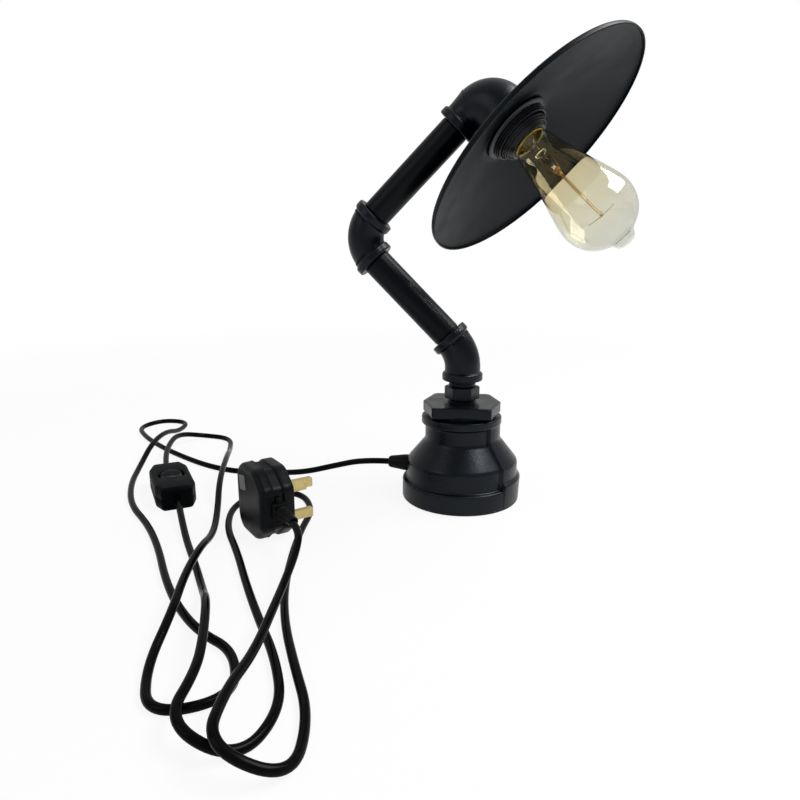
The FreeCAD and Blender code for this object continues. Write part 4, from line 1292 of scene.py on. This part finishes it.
@dataclass
class Lampholder:
    """The screw lampholder, its brass shell and the ring that clamps the shade."""

    back: float = 15.0
    flange: float = 21.4
    flange_low: float = 30.3
    skirt: float = 19.3
    mouth: float = 47.3
    mouth_bore: float = 12.4
    bore: float = 14.2
    inside: float = 17.6
    taper: tuple[Corner, ...] = (
        (19.3, 38.6, 0.8), (18.4, 41.6, 0.8), (16.2, 44.8, 1.0), (14.3, 47.0, 0.6))
    thread_start: float = 40.6
    ring_low: float = 32.9
    ring_radius: float = 25.2
    ring_gap: float = 0.8
    ring_collar: float = 21.9
    shell: float = 14.0
    shell_start: float = 22.4
    shell_end: float = 45.0
    shell_wall: float = 0.5

    def build(self) -> None:
        """Makes the moulded body and its thread, the ring and the brass shell."""
        low, top = self.flange_low, self.mouth
        body = soften([
            (4.2, self.back, 0.0), (self.inside, self.back, 0.5), (self.inside, low, 0.0),
            (self.flange, low, 0.3), (self.flange, low + 1.0, 0.3), (self.skirt, low + 1.0, 0.2),
            *self.taper, (self.mouth_bore + 0.9, top, 0.3), (self.mouth_bore, top - 0.3, 0.2),
            (self.mouth_bore, top - 1.6, 0.0), (self.bore, top - 2.0, 0.0),
            (self.bore, self.back + 3.0, 0.0), (4.2, self.back + 3.0, 0.0)])
        fit = Fit(Body.HEAD, Finishes.holder, "holder", ("lampholder_body",))
        Skin(FRAMES.light, fit).lathe(body, Ends.LOOP, 112).finish("holder_skirt")
        plain = Fit(Body.HEAD, Finishes.holder, "holder")
        skirt_thread = Ridges(Repeat.HELIX, radius=18.6, pitch=1.55, count=3, ridge=0.5,
                              slope=-2.5 * MM)
        place = FRAMES.light @ Matrix.Translation((0, 0, self.thread_start))
        skirt_thread.bake("holder_thread", place, plain)
        self._ring(plain)
        self._shell()

    def _ring(self, plain: Fit) -> None:
        """The clamping ring: a flat flange over a narrow gap, and a ridged collar."""
        low, out = self.ring_low, self.ring_radius
        flange = soften([
            (self.skirt + 0.4, low, 0.0), (out - 2.2, low, 0.0), (out - 2.0, low + self.ring_gap, 0.2),
            (out, low + self.ring_gap, 0.2), (out, low + 1.6, 0.4), (out - 0.9, low + 2.1, 0.3),
            (self.ring_collar + 0.6, low + 2.6, 0.5), (self.skirt + 0.4, low + 2.6, 0.0)])
        # The flange takes the lighter ring finish, a painted reflection; the collar keeps the holder's
        # black.
        fit = Fit(Body.HEAD, Finishes.flange, "holder", ("shade_ring",))
        Skin(FRAMES.light, fit).lathe(flange, Ends.LOOP, 112).finish("clamp_ring")
        collar = soften([
            (self.skirt + 0.4, low + 2.65, 0.0), (self.ring_collar, low + 2.65, 0.2),
            (self.ring_collar - 0.3, low + 3.6, 0.4), (self.ring_collar - 1.2, low + 7.0, 0.5),
            (self.skirt + 1.0, low + 7.5, 0.3), (self.skirt + 0.4, low + 7.3, 0.0)])
        Skin(FRAMES.light, plain).lathe(collar, Ends.LOOP, 112).finish("ring_collar")
        steps = Ridges(Repeat.RINGS, self.ring_collar - 0.5, pitch=1.5, count=3, ridge=0.5,
                       slope=-0.018)
        steps.bake("ring_ridges", FRAMES.light @ Matrix.Translation((0, 0, low + 3.7)), plain)

    def _shell(self) -> None:
        """The brass shell that the bulb screws into."""
        low, top, wall = self.shell_start, self.shell_end, self.shell_wall
        shell = soften([
            (self.shell - wall, low, 0.0), (self.shell, low, 0.0), (self.shell, top, 0.2),
            (self.shell - wall, top, 0.2)])
        fit = Fit(Body.HEAD, Finishes.shell, "brass", ("screw_shell",))
        Skin(FRAMES.light, fit).lathe(shell, Ends.LOOP, 96).finish("brass_shell_body")


@dataclass
class FlatShade:
    """The wide flat sheet shade with its turned-down rim."""

    hole: float = 19.9
    top: float = 31.6
    hub: float = 29.0
    rim: float = 91.4
    bend: float = 52.3
    low: float = 55.9
    sheet: float = 1.0

    def build(self) -> None:
        """Makes the shade as one closed sheet."""
        s = self.sheet
        profile = soften([
            (self.hole, self.top, 0.0), (self.hub, self.top, 6.0), (self.rim, self.bend, 2.2),
            (self.rim + 0.05, self.low - 0.2, 0.5), (self.rim - s * 1.1, self.low, 0.5),
            (self.rim - s, self.bend + s * 0.85, 1.4), (self.hub - 0.3, self.top + s, 6.0),
            (self.hole, self.top + s, 0.0)], True, 8)
        fit = Fit(Body.HEAD, Finishes.enamel, "shade", ("shade",))
        Skin(FRAMES.light, fit).lathe(profile, Ends.LOOP, 240).finish("sheet_shade", 50.0)


# ------------------------------------------------------------------ bulb


@dataclass
class FilamentBulb:
    """The long pear-shaped bulb: glass, stem, wires, beads and screw cap."""

    mouth: float = 47.4
    wall: float = 0.7
    cap_radius: float = 11.6
    cap_pitch: float = 3.6
    cap_depth: float = 18.0
    lead_radius: float = 0.2
    cross_radius: float = 0.28
    button: float = 27.0
    spider: float = 73.0
    cross_bearing: float = -15.0
    outline: tuple[tuple[float, float], ...] = (
        (10.3, -2.4), (10.4, -0.8), (11.1, 0.4), (12.1, 1.5), (13.0, 3.2), (14.6, 9.0),
        (16.2, 18.0), (18.3, 28.0), (20.7, 38.0), (23.2, 48.0), (25.2, 56.0), (26.3, 62.0),
        (26.6, 66.5), (26.1, 71.5), (24.7, 76.5), (22.3, 81.2), (19.0, 85.2), (15.2, 88.2),
        (11.8, 90.1), (9.7, 91.2), (8.4, 92.6), (7.6, 94.3), (6.5, 95.8), (4.9, 96.8),
        (2.8, 97.3), (0.0, 97.45))

    def _smooth(self, inset: float, spans: int = 5) -> Profile:
        """The glass outline, moved inwards and passed through a smooth curve."""
        points = [Vector(p) for p in self.outline]
        moved = []
        for index, point in enumerate(points):
            ahead = points[min(index + 1, len(points) - 1)] - points[max(index - 1, 0)]
            out = Vector((ahead.y, -ahead.x)).normalized()
            spot = point - out * inset
            moved.append(Vector((max(0.0, spot.x), spot.y)))
        moved[-1].x = 0.0
        found: Profile = []
        for k in range(len(moved) - 1):
            p0, p1 = moved[max(k - 1, 0)], moved[k]
            p2, p3 = moved[k + 1], moved[min(k + 2, len(moved) - 1)]
            for step in range(spans):
                t = step / spans
                spot = (p1 * 2 + (p2 - p0) * t + (p0 * 2 - p1 * 5 + p2 * 4 - p3) * t * t
                        + (p1 * 3 - p0 - p2 * 3 + p3) * t ** 3) * 0.5
                found.append((max(0.0, spot.x), spot.y))
        return found + [(0.0, moved[-1].y)]

    def build(self) -> None:
        """Makes every piece of the bulb."""
        self._glass()
        self._stem()
        self._wires()
        self._cap()

    def _glass(self) -> None:
        """The blown glass, a closed thin wall."""
        outside, inside = self._smooth(0.0), self._smooth(self.wall)
        profile = list(reversed(outside)) + inside
        fit = Fit(Body.BULB, Finishes.amber, "glass", ("bulb_glass",))
        Skin(FRAMES.light, fit).lathe(profile, Ends.LOOP, 128, self.mouth).finish("pear_glass", 60.0)

    def _stem(self) -> None:
        """The thin flared stem tube, the pinch over it and the button on its rod."""
        b = self.button
        flare = [(9.3, -5.0), (7.6, -3.6), (5.6, -1.6), (4.2, 1.0), (3.3, 4.0), (2.7, 7.0), (2.2, 10.2)]
        inner = [(r - 0.5, z - 0.3) for r, z in flare[:-1]] + [(1.5, 9.6)]
        fit = Fit(Body.BULB, Finishes.clear, "stem_glass", ("bulb_stem",))
        skin = Skin(FRAMES.light, fit).lathe(flare + list(reversed(inner)), Ends.LOOP, 64, self.mouth)
        pinch = [(0.0, 9.6), (1.7, 9.8), (2.5, 10.8), (2.2, 12.4), (1.2, 13.8), (1.05, b - 3.0),
                 (1.4, b - 1.4), (2.4, b - 0.4), (2.7, b + 0.7), (2.3, b + 1.8), (1.0, b + 2.7),
                 (0.45, b + 3.4), (0.45, self.spider + 0.4), (0.0, self.spider + 0.6)]
        rings = []
        for r, z in pinch:
            flat = 1.8 if 9.7 < z < 13.0 else 1.0
            rings.append([(r * flat * math.cos(a), r * math.sin(a) / (1.0 + 0.35 * (flat - 1.0)),
                           z + self.mouth) for a in around(40)])
        skin.add(rings, Ends.POLES).finish("stem_glass_body", 60.0)

    def _wires(self) -> None:
        """Lead wires, golden strands, copper beads, and cross wires with the button's hooks."""
        m, b, far = self.mouth, self.button, self.spider
        leads = Skin(FRAMES.light, Fit(Body.BULB, Finishes.glow, "filament"))
        for side in (-1.0, 1.0):
            leads.tube([(side * 1.2, 0.0, m - 1.4), (side * 1.6, 0.2, m + 5.0), (side * 2.4, 0.3, m + 11.0),
                        (side * 3.4, 0.5, m + 15.0), (side * 3.7, 0.4, m + 20.5),
                        (side * 2.6, 0.2, m + b - 0.4), (side * 1.5, 0.0, m + b + 3.0),
                        (side * 0.8, 0.0, m + b + 5.2)], self.lead_radius, 10)
        leads.finish("lead_wires", 60.0)
        strands = Skin(FRAMES.light, Fit(Body.BULB, Finishes.glow, "filament", ("filament",)))
        for k in range(4):
            a = 2.0 * math.pi * k / 4 + 0.4
            c, s = math.cos(a), math.sin(a)
            sway = 0.25 * math.sin(k * 2.1)
            strands.tube([(0.75 * c, 0.75 * s, m + b + 4.0), (1.05 * c + sway, 1.05 * s, m + b + 16.0),
                          (1.0 * c, 1.0 * s - sway, m + b + 30.0), (0.7 * c, 0.7 * s, m + far - 1.6)],
                         self.lead_radius, 10)
        strands.finish("golden_strands", 60.0)
        beads = Skin(FRAMES.light, Fit(Body.BULB, Finishes.copper, "filament"))
        for r, low, tall in ((2.2, m + b - 0.4, 2.1), (1.2, m + b + 3.0, 1.4), (1.2, m + far - 2.4, 1.3)):
            bead = [(0.45 * r, low), (0.9 * r, low + 0.12 * tall), (r, low + 0.4 * tall),
                    (0.9 * r, low + 0.8 * tall), (0.4 * r, low + tall)]
            beads.lathe(bead, Ends.POLES, 32)
        beads.finish("copper_beads", 60.0)
        cross = Skin(FRAMES.light, Fit(Body.BULB, Finishes.wire, "support_wire", ("filament_supports",)))
        for k in range(4):
            a = math.radians(self.cross_bearing + 90.0 * k)
            c, s = math.cos(a), math.sin(a)
            reach = 10.3 if k % 2 == 0 else 5.0
            cross.tube([(0.3 * c, 0.3 * s, m + far - 0.8), (3.0 * c, 3.0 * s, m + far - 1.2),
                        (reach * c, reach * s, m + far - 1.7), (reach * c, reach * s, m + far - 3.0)],
                       self.cross_radius, 8)
            cross.tube([(0.9 * c, 0.9 * s, m + b + 2.2), (1.9 * c, 1.9 * s, m + b + 3.4),
                        (1.5 * c, 1.5 * s, m + b + 4.4)], self.lead_radius, 8)
        cross.finish("cross_wires", 60.0)

    def _cap(self) -> None:
        """The brass screw cap with its rolled rim."""
        m, r = self.mouth, self.cap_radius
        profile = soften([
            (r - 0.8, m + 0.1, 0.2), (r + 0.25, m + 0.3, 0.3), (r + 0.25, m - 0.6, 0.3),
            (r - 0.3, m - 1.0, 0.3), (r - 0.3, m - 19.4, 0.4), (r - 1.6, m - 19.6, 0.4),
            (r - 2.0, m - 19.0, 0.3), (r - 0.9, m - 18.6, 0.3), (r - 0.9, m - 0.6, 0.2)])
        fit = Fit(Body.BULB, Finishes.cap, "cap", ("bulb_cap",))
        Skin(FRAMES.light, fit).lathe(profile, Ends.LOOP, 96).finish("screw_cap")
        thread = Ridges(Repeat.HELIX, r - 0.4, self.cap_pitch, count=4, ridge=0.75)
        place = FRAMES.light @ Matrix.Translation((0, 0, m - self.cap_depth))
        thread.bake("cap_thread", place, Fit(Body.BULB, Finishes.cap, "cap"))


# ------------------------------------------------------------------ switch and plug


@dataclass
class Assembly:
    """A sub-assembly that remembers its pieces."""

    pieces: list[bpy.types.Object] = field(default_factory=list, init=False, repr=False)

    def keep(self, piece: bpy.types.Object) -> None:
        """Adds a finished piece."""
        self.pieces.append(piece)


@dataclass
class CordSwitch(Assembly):
    """The in-line switch: two shells and a round key with a raised ring."""

    half_length: float = 33.0
    half_width: float = 15.0
    height: float = 18.0
    parting: float = 9.0
    window: float = 9.9
    key: float = 8.4
    rise: float = 6.9
    dip: float = 1.6
    pivot: float = 11.8
    tilt: float = 9.0
    mark: float = 6.2
    mark_wire: float = 0.42

    def _outline(self) -> Outline:
        """The long outline with its cut corners."""
        e, w = self.half_length, self.half_width
        corners = [(-e, -w + 4, 3.6), (-e + 12, -w, 5.0), (e - 12, -w, 5.0), (e, -w + 4, 3.6),
                   (e, w - 4, 3.6), (e - 12, w, 5.0), (-e + 12, w, 5.0), (-e, w - 4, 3.6)]
        return Outline(corners, 1.4)

    def build(self) -> None:
        """Makes the shells and the key."""
        outline = self._outline()
        p, h = self.parting, self.height
        lower = [outline.ring(0.0, 2.0, shrink=0.5), outline.ring(0.0, 2.0), outline.ring(0.35, 1.1),
                 outline.ring(1.1, 0.4), outline.ring(2.2), outline.ring(p - 0.5),
                 outline.ring(p - 0.15, 0.3), outline.ring(p - 0.12, 0.3, shrink=0.8)]
        fit = Fit(Body.BASE, Finishes.switch, "switch_case", ("switch_base",))
        self.keep(Skin(FRAMES.switch, fit).add(lower, Ends.POLES).finish("switch_shell_low", 50.0))
        upper = [outline.hole(p + 1.6, self.window), outline.ring(p + 0.14, 0.3, shrink=0.8),
                 outline.ring(p + 0.15, 0.3), outline.ring(p + 0.5)]
        for k in range(8):
            a = math.pi / 2 * k / 7
            upper.append(outline.ring(h - 3.4 + 3.4 * math.sin(a), 3.4 * (1.0 - math.cos(a))))
        upper += [outline.hole(h + 0.02, self.window + 1.6),
                  outline.hole(h - 0.1, self.window + 0.9), outline.hole(h - 0.55, self.window + 0.25),
                  outline.hole(h - 1.2, self.window), outline.hole(p + 2.2, self.window)]
        fit = Fit(Body.BASE, Finishes.switch, "switch_case", ("switch_cover",))
        self.keep(Skin(FRAMES.switch, fit).add(upper, Ends.POLES).finish("switch_shell_high", 50.0))
        self._key()

    def _top(self, x: float) -> float:
        """Height of the key's see-saw face above its pivot."""
        share = min(1.0, abs(x) / self.key)
        return self.rise - self.dip * (1.0 - share) ** 1.5

    def _key(self) -> None:
        """The round see-saw key with a raised ring on its free half."""
        place = FRAMES.switch @ Matrix.Translation((0, 0, self.pivot)) @ turn_about("Y", self.tilt)
        turns = around(72)
        rings = [circle(r, -1.7, turns) for r in (2.0, self.key)]
        for r, drop in ((self.key, 1.2), (self.key - 0.15, 0.5), (self.key - 0.6, 0.12),
                        (self.key - 1.2, 0.0), (6.0, 0.0), (4.4, 0.0), (2.6, 0.0), (1.0, 0.0)):
            rings.append([(r * math.cos(a), r * math.sin(a), self._top(r * math.cos(a)) - drop)
                          for a in turns])
        fit = Fit(Body.ROCKER, Finishes.rocker, "rocker", ("rocker",))
        skin = Skin(place, fit).add(rings, Ends.POLES)
        arc = [math.radians(-78.0 + 156.0 * k / 24) for k in range(25)]
        ring = [(self.mark * math.cos(a), self.mark * math.sin(a)) for a in arc]
        skin.tube([(x, y, self._top(x) + 0.05) for x, y in ring], self.mark_wire, 8)
        self.keep(skin.finish("rocker_key_round", 50.0))


@dataclass
class MainsPlug(Assembly):
    """The plug's mouldings: face block, cover, grip ribs, blank panel and cord sleeve."""

    face: float = -12.0
    back: float = 12.0
    band_low: float = -3.6
    band_high: float = 3.0
    band_depth: float = 1.3
    cable_end: float = -23.0
    half_width: float = 25.0
    panel_half: tuple[float, float] = (5.2, 5.6)
    panel_spot: tuple[float, float] = (11.5, 10.5)
    panel_turn: float = 12.0

    def _outline(self) -> Outline:
        """The plug's outline, narrow at the cord."""
        corners = [(-14.0, -23.0, 8.0), (14.0, -23.0, 8.0), (25.0, -9.0, 14.0), (25.0, 23.0, 12.5),
                   (-25.0, 23.0, 12.5), (-25.0, -9.0, 14.0)]
        return Outline(corners, 1.4, 10)

    def build(self) -> None:
        """Makes the plug."""
        outline = self._outline()
        f, lo, hi, d = self.face, self.band_low, self.band_high, self.band_depth
        block = [outline.ring(f, 1.2, shrink=0.5), outline.ring(f, 1.2), outline.ring(f + 0.3, 0.5),
                 outline.ring(f + 1.1), outline.ring(lo - 1.2), outline.ring(lo - 0.5, 0.2),
                 outline.ring(lo - 0.1, 0.9), outline.ring(lo, d), outline.ring(hi - 0.6, d),
                 outline.ring(hi - 0.5, d, shrink=0.8)]
        fit = Fit(Body.BASE, Finishes.plug, "plug_case", ("plug_base",))
        self.keep(Skin(FRAMES.plug, fit).add(block, Ends.POLES).finish("plug_block", 50.0))
        cover = [outline.ring(hi - 0.4, d, shrink=0.8), outline.ring(hi - 0.35, 0.9),
                 outline.ring(hi - 0.25, -0.1), outline.ring(hi + 0.1, -0.3),
                 outline.ring(hi + 0.5, -0.1), outline.ring(hi + 0.8, 0.0)]
        for k in range(9):
            a = math.pi / 2 * k / 8
            cover.append(outline.ring(self.back - 4.2 + 4.2 * math.sin(a), 4.2 * (1.0 - math.cos(a))))
        cover += [outline.ring(self.back, 4.2, shrink=0.8), outline.ring(self.back, 4.2, shrink=0.5)]
        fit = Fit(Body.BASE, Finishes.plug, "plug_case", ("plug_cover",))
        self.keep(Skin(FRAMES.plug, fit).add(cover, Ends.POLES).finish("plug_lid", 50.0))
        self._band()
        self._blank()
        self._sleeve()

    def _band(self) -> None:
        """Finger ribs on both sides of the grip band."""
        fit = Fit(Body.BASE, Finishes.plug, "plug_case")
        for name, side in (("grip_ribs_low", -1.0), ("grip_ribs_high", 1.0)):
            ribs = Ridges(Repeat.BARS, side * (self.half_width - self.band_depth), pitch=1.7, count=3,
                          ridge=0.45, length=15.0)
            place = FRAMES.plug @ Matrix.Translation((0.0, 4.0, self.band_low + 1.4))
            self.keep(ribs.bake(name, place, fit))

    def _blank(self) -> None:
        """A blank moulded panel near the cover's corner."""
        panel = box_outline(*self.panel_half, 1.0, 1.0)
        rings = [panel.ring(-0.3), panel.ring(0.16), panel.ring(0.26, 0.15), panel.ring(0.26, 1.0)]
        spot = Matrix.Translation((*self.panel_spot, self.back))
        place = FRAMES.plug @ spot @ turn_about("Z", self.panel_turn)
        fit = Fit(Body.BASE, Finishes.panel, "plug_case")
        self.keep(Skin(place, fit).add(rings, Ends.POLES).finish("blank_panel", 50.0))

    def _sleeve(self) -> None:
        """The cord's clamp block with two wings and its tapered sleeve."""
        end = self.cable_end
        place = FRAMES.plug @ Matrix.Translation((0, end, 0)) @ turn_about("X", 90.0)
        clamp = box_outline(5.6, 5.2, 1.0, 0.9)
        wings = box_outline(9.0, 2.2, 0.8, 0.9)
        fit = Fit(Body.BASE, Finishes.grip, "grip", ("plug_relief",))
        skin = Skin(place, fit)
        skin.add([clamp.ring(-1.5), clamp.ring(3.6), clamp.ring(4.4, 0.5), clamp.ring(4.5, 1.5)],
                 Ends.POLES)
        skin.add([wings.ring(0.4), wings.ring(2.2), wings.ring(2.7, 0.4), wings.ring(2.7, 1.0)],
                 Ends.POLES)
        sleeve = soften([(2.5, 1.0, 0.0), (4.6, 1.0, 0.0), (4.6, 6.4, 0.6), (4.1, 6.8, 0.3),
                         (3.25, 23.0, 0.6), (2.9, 23.8, 0.3), (2.45, 23.8, 0.0)])
        skin.lathe(sleeve, Ends.LOOP, 48)
        self.keep(skin.finish("plug_sleeve", 45.0))
        rings = Ridges(Repeat.RINGS, radius=4.0, pitch=2.1, count=5, ridge=0.32, slope=-0.028)
        self.keep(rings.bake("sleeve_rings", place @ Matrix.Translation((0, 0, 9.0)),
                             Fit(Body.BASE, Finishes.grip, "grip")))


# ------------------------------------------------------------------ cord


@dataclass
class MainsCord:
    """The free cord: from the base to the switch, and from the switch to the plug."""

    diameter: float = 4.8 * MM
    floor: float = 2.4
    hump: float = 12.4
    tall: float = 17.0
    exit_lamp: Point = (-58.2, 0.0, 24.2)
    switch_in: Point = (-244.8, -21.6, 9.0)
    switch_out: Point = (-205.2, -74.4, 9.0)
    plug_in: Point = (-97.8370, -125.1630, 25.0)

    def lamp_route(self) -> list[Point]:
        """Control points from the base to the switch, in millimetres."""
        f, h = self.floor, self.hump
        return [
            self.exit_lamp, (-80, 1, 23.5), (-105, 4, 16), (-136, 10, 5.5), (-168, 12, f), (-199, 9, f),
            (-229, 18, f), (-265, 38, f), (-301, 62, f), (-335, 90, f), (-361, 120, f), (-351, 152, f),
            (-319, 150, f), (-311, 116, f), (-305, 80, h), (-297, 42, h), (-287, 4, f), (-269, -38, f),
            (-243, -78, f), (-210, -108, f), (-182, -141, f), (-157, -176, f), (-134, -203, f),
            (-110, -224, f), (-84, -236, f), (-69, -268, f), (-101, -287, f), (-119, -258, f),
            (-124, -224, h), (-137, -188, h), (-146, -152, h), (-157, -114, f), (-172, -77, f),
            (-190, -36, h), (-211, 22, h), (-229, 64, f), (-245, 101, f), (-277, 106, f), (-289, 75, h),
            (-278, 38, h), (-261, 3, 10.5), self.switch_in,
        ]

    def plug_route(self) -> list[Point]:
        """Control points from the switch to the plug, in millimetres."""
        f, h, k = self.floor, self.hump, self.tall
        return [
            self.switch_out, (-191, -96, 6.5), (-169, -128, f), (-148, -156, f), (-127, -186, f),
            (-112, -210, h), (-98, -240, h), (-88, -266, h), (-84, -300, h), (-52, -303, f),
            (-46, -271, f), (-62, -238, f), (-86, -204, f), (-107, -172, f), (-129, -136, f),
            (-154, -100, f), (-166, -62, f), (-155, -31, f), (-124, -28, f), (-104, -58, f),
            (-100, -98, f), (-92, -137, f), (-82, -175, f), (-69, -208, f), (-52, -240, f),
            (-33, -273, f), (-28, -308, f), (-60, -313, k), (-66, -282, k), (-68, -250, h),
            (-73, -216, h), (-78, -184, h), (-80, -158, 19), (-85.1, -137.9, 24), self.plug_in,
        ]

    def strand(self, name: str, route: Sequence[Point]) -> bpy.types.Object:
        """A round cord on a smooth spline.

        Args:
            name: The piece's name.
            route: Control points in millimetres.

        Returns:
            The curve object.
        """
        curve = bpy.data.curves.new(name, "CURVE")
        curve.dimensions = "3D"
        curve.bevel_depth = self.diameter / 2
        curve.bevel_resolution = 6
        spline = curve.splines.new("NURBS")
        spline.points.add(len(route) - 1)
        for point, place in zip(spline.points, route):
            point.co = (*(c * MM for c in place), 1.0)
        spline.order_u = 3
        spline.use_endpoint_u = True
        spline.resolution_u = 12
        curve.use_fill_caps = True
        piece = stand(name, curve)
        curve.materials.append(Finishes.cord.material())
        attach(piece, Body.BASE.value)
        return piece

    def build(self, switch: "CordSwitch", plug: "MainsPlug") -> None:
        """Args:
            switch: The switch between the two lengths; not used.
            plug: The plug at the far end; not used.
        """
        first = self.strand("lamp_flex", self.lamp_route())
        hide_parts("lamp_cord")
        second = self.strand("plug_flex", self.plug_route())
        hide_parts("plug_cord")
        LOG.info("cord: %d and %d control points", len(self.lamp_route()), len(self.plug_route()))


# ------------------------------------------------------------------ studio


@dataclass
class Studio:
    """Camera, floor, world and lamps."""

    eye: Point = (53.2, -504.6, 199.0)
    facing: float = 0.2
    pitch: float = 0.235
    lens: float = 30.04
    white: float = 1.0
    fill: float = 0.3
    room: float = 0.15
    backdrop: float = 0.5
    floor_glow: float = 0.9

    def camera(self) -> None:
        """The camera, aimed by its facing and pitch angles."""
        data = bpy.data.cameras.new("view")
        data.lens = self.lens
        data.sensor_width = 36.0
        data.clip_start = 0.01
        data.clip_end = 20.0
        camera = stand("view", data)
        a, p = self.facing, self.pitch
        ahead = Vector((-math.sin(a) * math.cos(p), math.cos(a) * math.cos(p), -math.sin(p)))
        right = Vector((math.cos(a), math.sin(a), 0.0))
        up = right.cross(ahead)
        turn = Matrix((right, up, -ahead)).transposed().to_4x4()
        camera.matrix_world = Matrix.Translation(Vector(self.eye) * MM) @ turn
        bpy.context.scene.camera = camera

    def background_share(self, graph: Graph, reflected: Feed = 1.0) -> Socket:
        """How much of the white background a ray sees.

        Args:
            graph: The tree that asks.
            reflected: The share for rays reflected off the lamp.

        Returns:
            1 for the camera and for rays through glass.
        """
        seen = graph.node("ShaderNodeLightPath", None, None, "Is Camera Ray")
        glossy = Socket(graph, seen.port.node.outputs["Is Glossy Ray"]) * reflected
        through = Socket(graph, seen.port.node.outputs["Is Transmission Ray"])
        return (seen + glossy).math("MAXIMUM", through).math("MINIMUM", 1.0)

    def world(self) -> None:
        """A white backdrop all round that reflects less strongly from the room before the lamp."""
        world = bpy.data.worlds.new("surround")
        bpy.context.scene.world = world
        graph = bare_graph(world)
        where = graph.node("ShaderNodeTexCoord", None, None, "Generated")
        way = graph.node("ShaderNodeSeparateXYZ", None, {0: where}, "Y")
        share = self.background_share(graph, graph.band(way, -0.5, 0.5, self.room, self.backdrop))
        strength = share * (self.white - self.fill) + self.fill
        sky = graph.node("ShaderNodeBackground", None,
                         {"Color": (1.0, 1.0, 1.0, 1.0), "Strength": strength})
        graph.node("ShaderNodeOutputWorld", None, {"Surface": sky})

    def floor(self) -> None:
        """A pale floor that keeps the lamp's shadow."""
        mesh = bpy.data.meshes.new("floor")
        size = 6.0
        mesh.from_pydata([(-size, -size, 0), (size, -size, 0), (size, size, 0), (-size, size, 0)], [],
                         [(0, 1, 2, 3)])
        floor = stand("floor", mesh)
        made = bpy.data.materials.new("pale_floor")
        graph = bare_graph(made)
        matte = graph.node("ShaderNodeBsdfDiffuse", None, {"Color": (0.9, 0.9, 0.9, 1.0)})
        bright = graph.node("ShaderNodeEmission", None,
                            {"Color": (1.0, 1.0, 1.0, 1.0), "Strength": self.white})
        where = graph.node("ShaderNodeTexCoord", None, None, "Object")
        away = graph.node("ShaderNodeVectorMath", {"operation": "LENGTH"}, {0: where}, "Value")
        glow = graph.band(away, 0.35, 1.3, self.floor_glow, 1.0)
        share = self.background_share(graph, self.backdrop) * glow
        mixed = graph.node("ShaderNodeMixShader", None, {0: share, 1: matte, 2: bright})
        graph.node("ShaderNodeOutputMaterial", None, {"Surface": mixed})
        mesh.materials.append(made)

    def lamp(self, name: str, place: Point, aim: Point, size: tuple[float, float], power: float) -> None:
        """A soft rectangular lamp.

        Args:
            name: Its name.
            place: Its position in metres.
            aim: The point it faces.
            size: Width and height in metres.
            power: Watts.
        """
        data = bpy.data.lights.new(name, "AREA")
        data.shape = "RECTANGLE"
        data.size, data.size_y = size
        data.energy = power
        lamp = stand(name, data)
        lamp.location = place
        lamp.rotation_euler = (Vector(aim) - Vector(place)).to_track_quat("-Z", "Y").to_euler()

    def build(self) -> None:
        """Sets up the whole studio."""
        scene = bpy.context.scene
        scene.view_settings.view_transform = "Standard"
        self.camera()
        self.world()
        self.floor()
        middle = (0.0, 0.0, 0.18)
        self.lamp("key_right", (0.78, 0.08, 1.25), middle, size=(1.3, 0.6), power=22.0)
        self.lamp("fill_left", (-0.9, -0.9, 0.9), middle, size=(0.7, 0.9), power=2.0)
        LOG.info("studio: lens %.2f mm", self.lens)


# ------------------------------------------------------------------ main


def main() -> None:
    """Builds the studio, dresses the nodes and makes every piece."""
    logging.basicConfig(level=logging.INFO, format="%(name)s: %(message)s")
    Studio().build()
    dress_nodes()
    switch, plug = CordSwitch(), MainsPlug()
    switch.build()
    plug.build()
    MainsCord().build(switch, plug)
    first_elbow = PipeElbow("first_elbow", Body.LOWER_ARM, FRAMES.lower_elbow, angle=45.0, bend=30.0,
                            reach_in=22.0, reach_out=17.0, node="lower_elbow")
    second_elbow = PipeElbow("second_elbow", Body.UPPER_ARM, FRAMES.middle, angle=90.0, bend=21.7,
                             reach_in=24.5, reach_out=24.5, node="middle_elbow")
    for part in (FootCasting(), Bush(), Nipple(), CordRelief(), first_elbow, second_elbow,
                 HeadElbow(), Lampholder(), FlatShade(), FilamentBulb()):
        part.build()


if __name__ == "__main__":
    main()
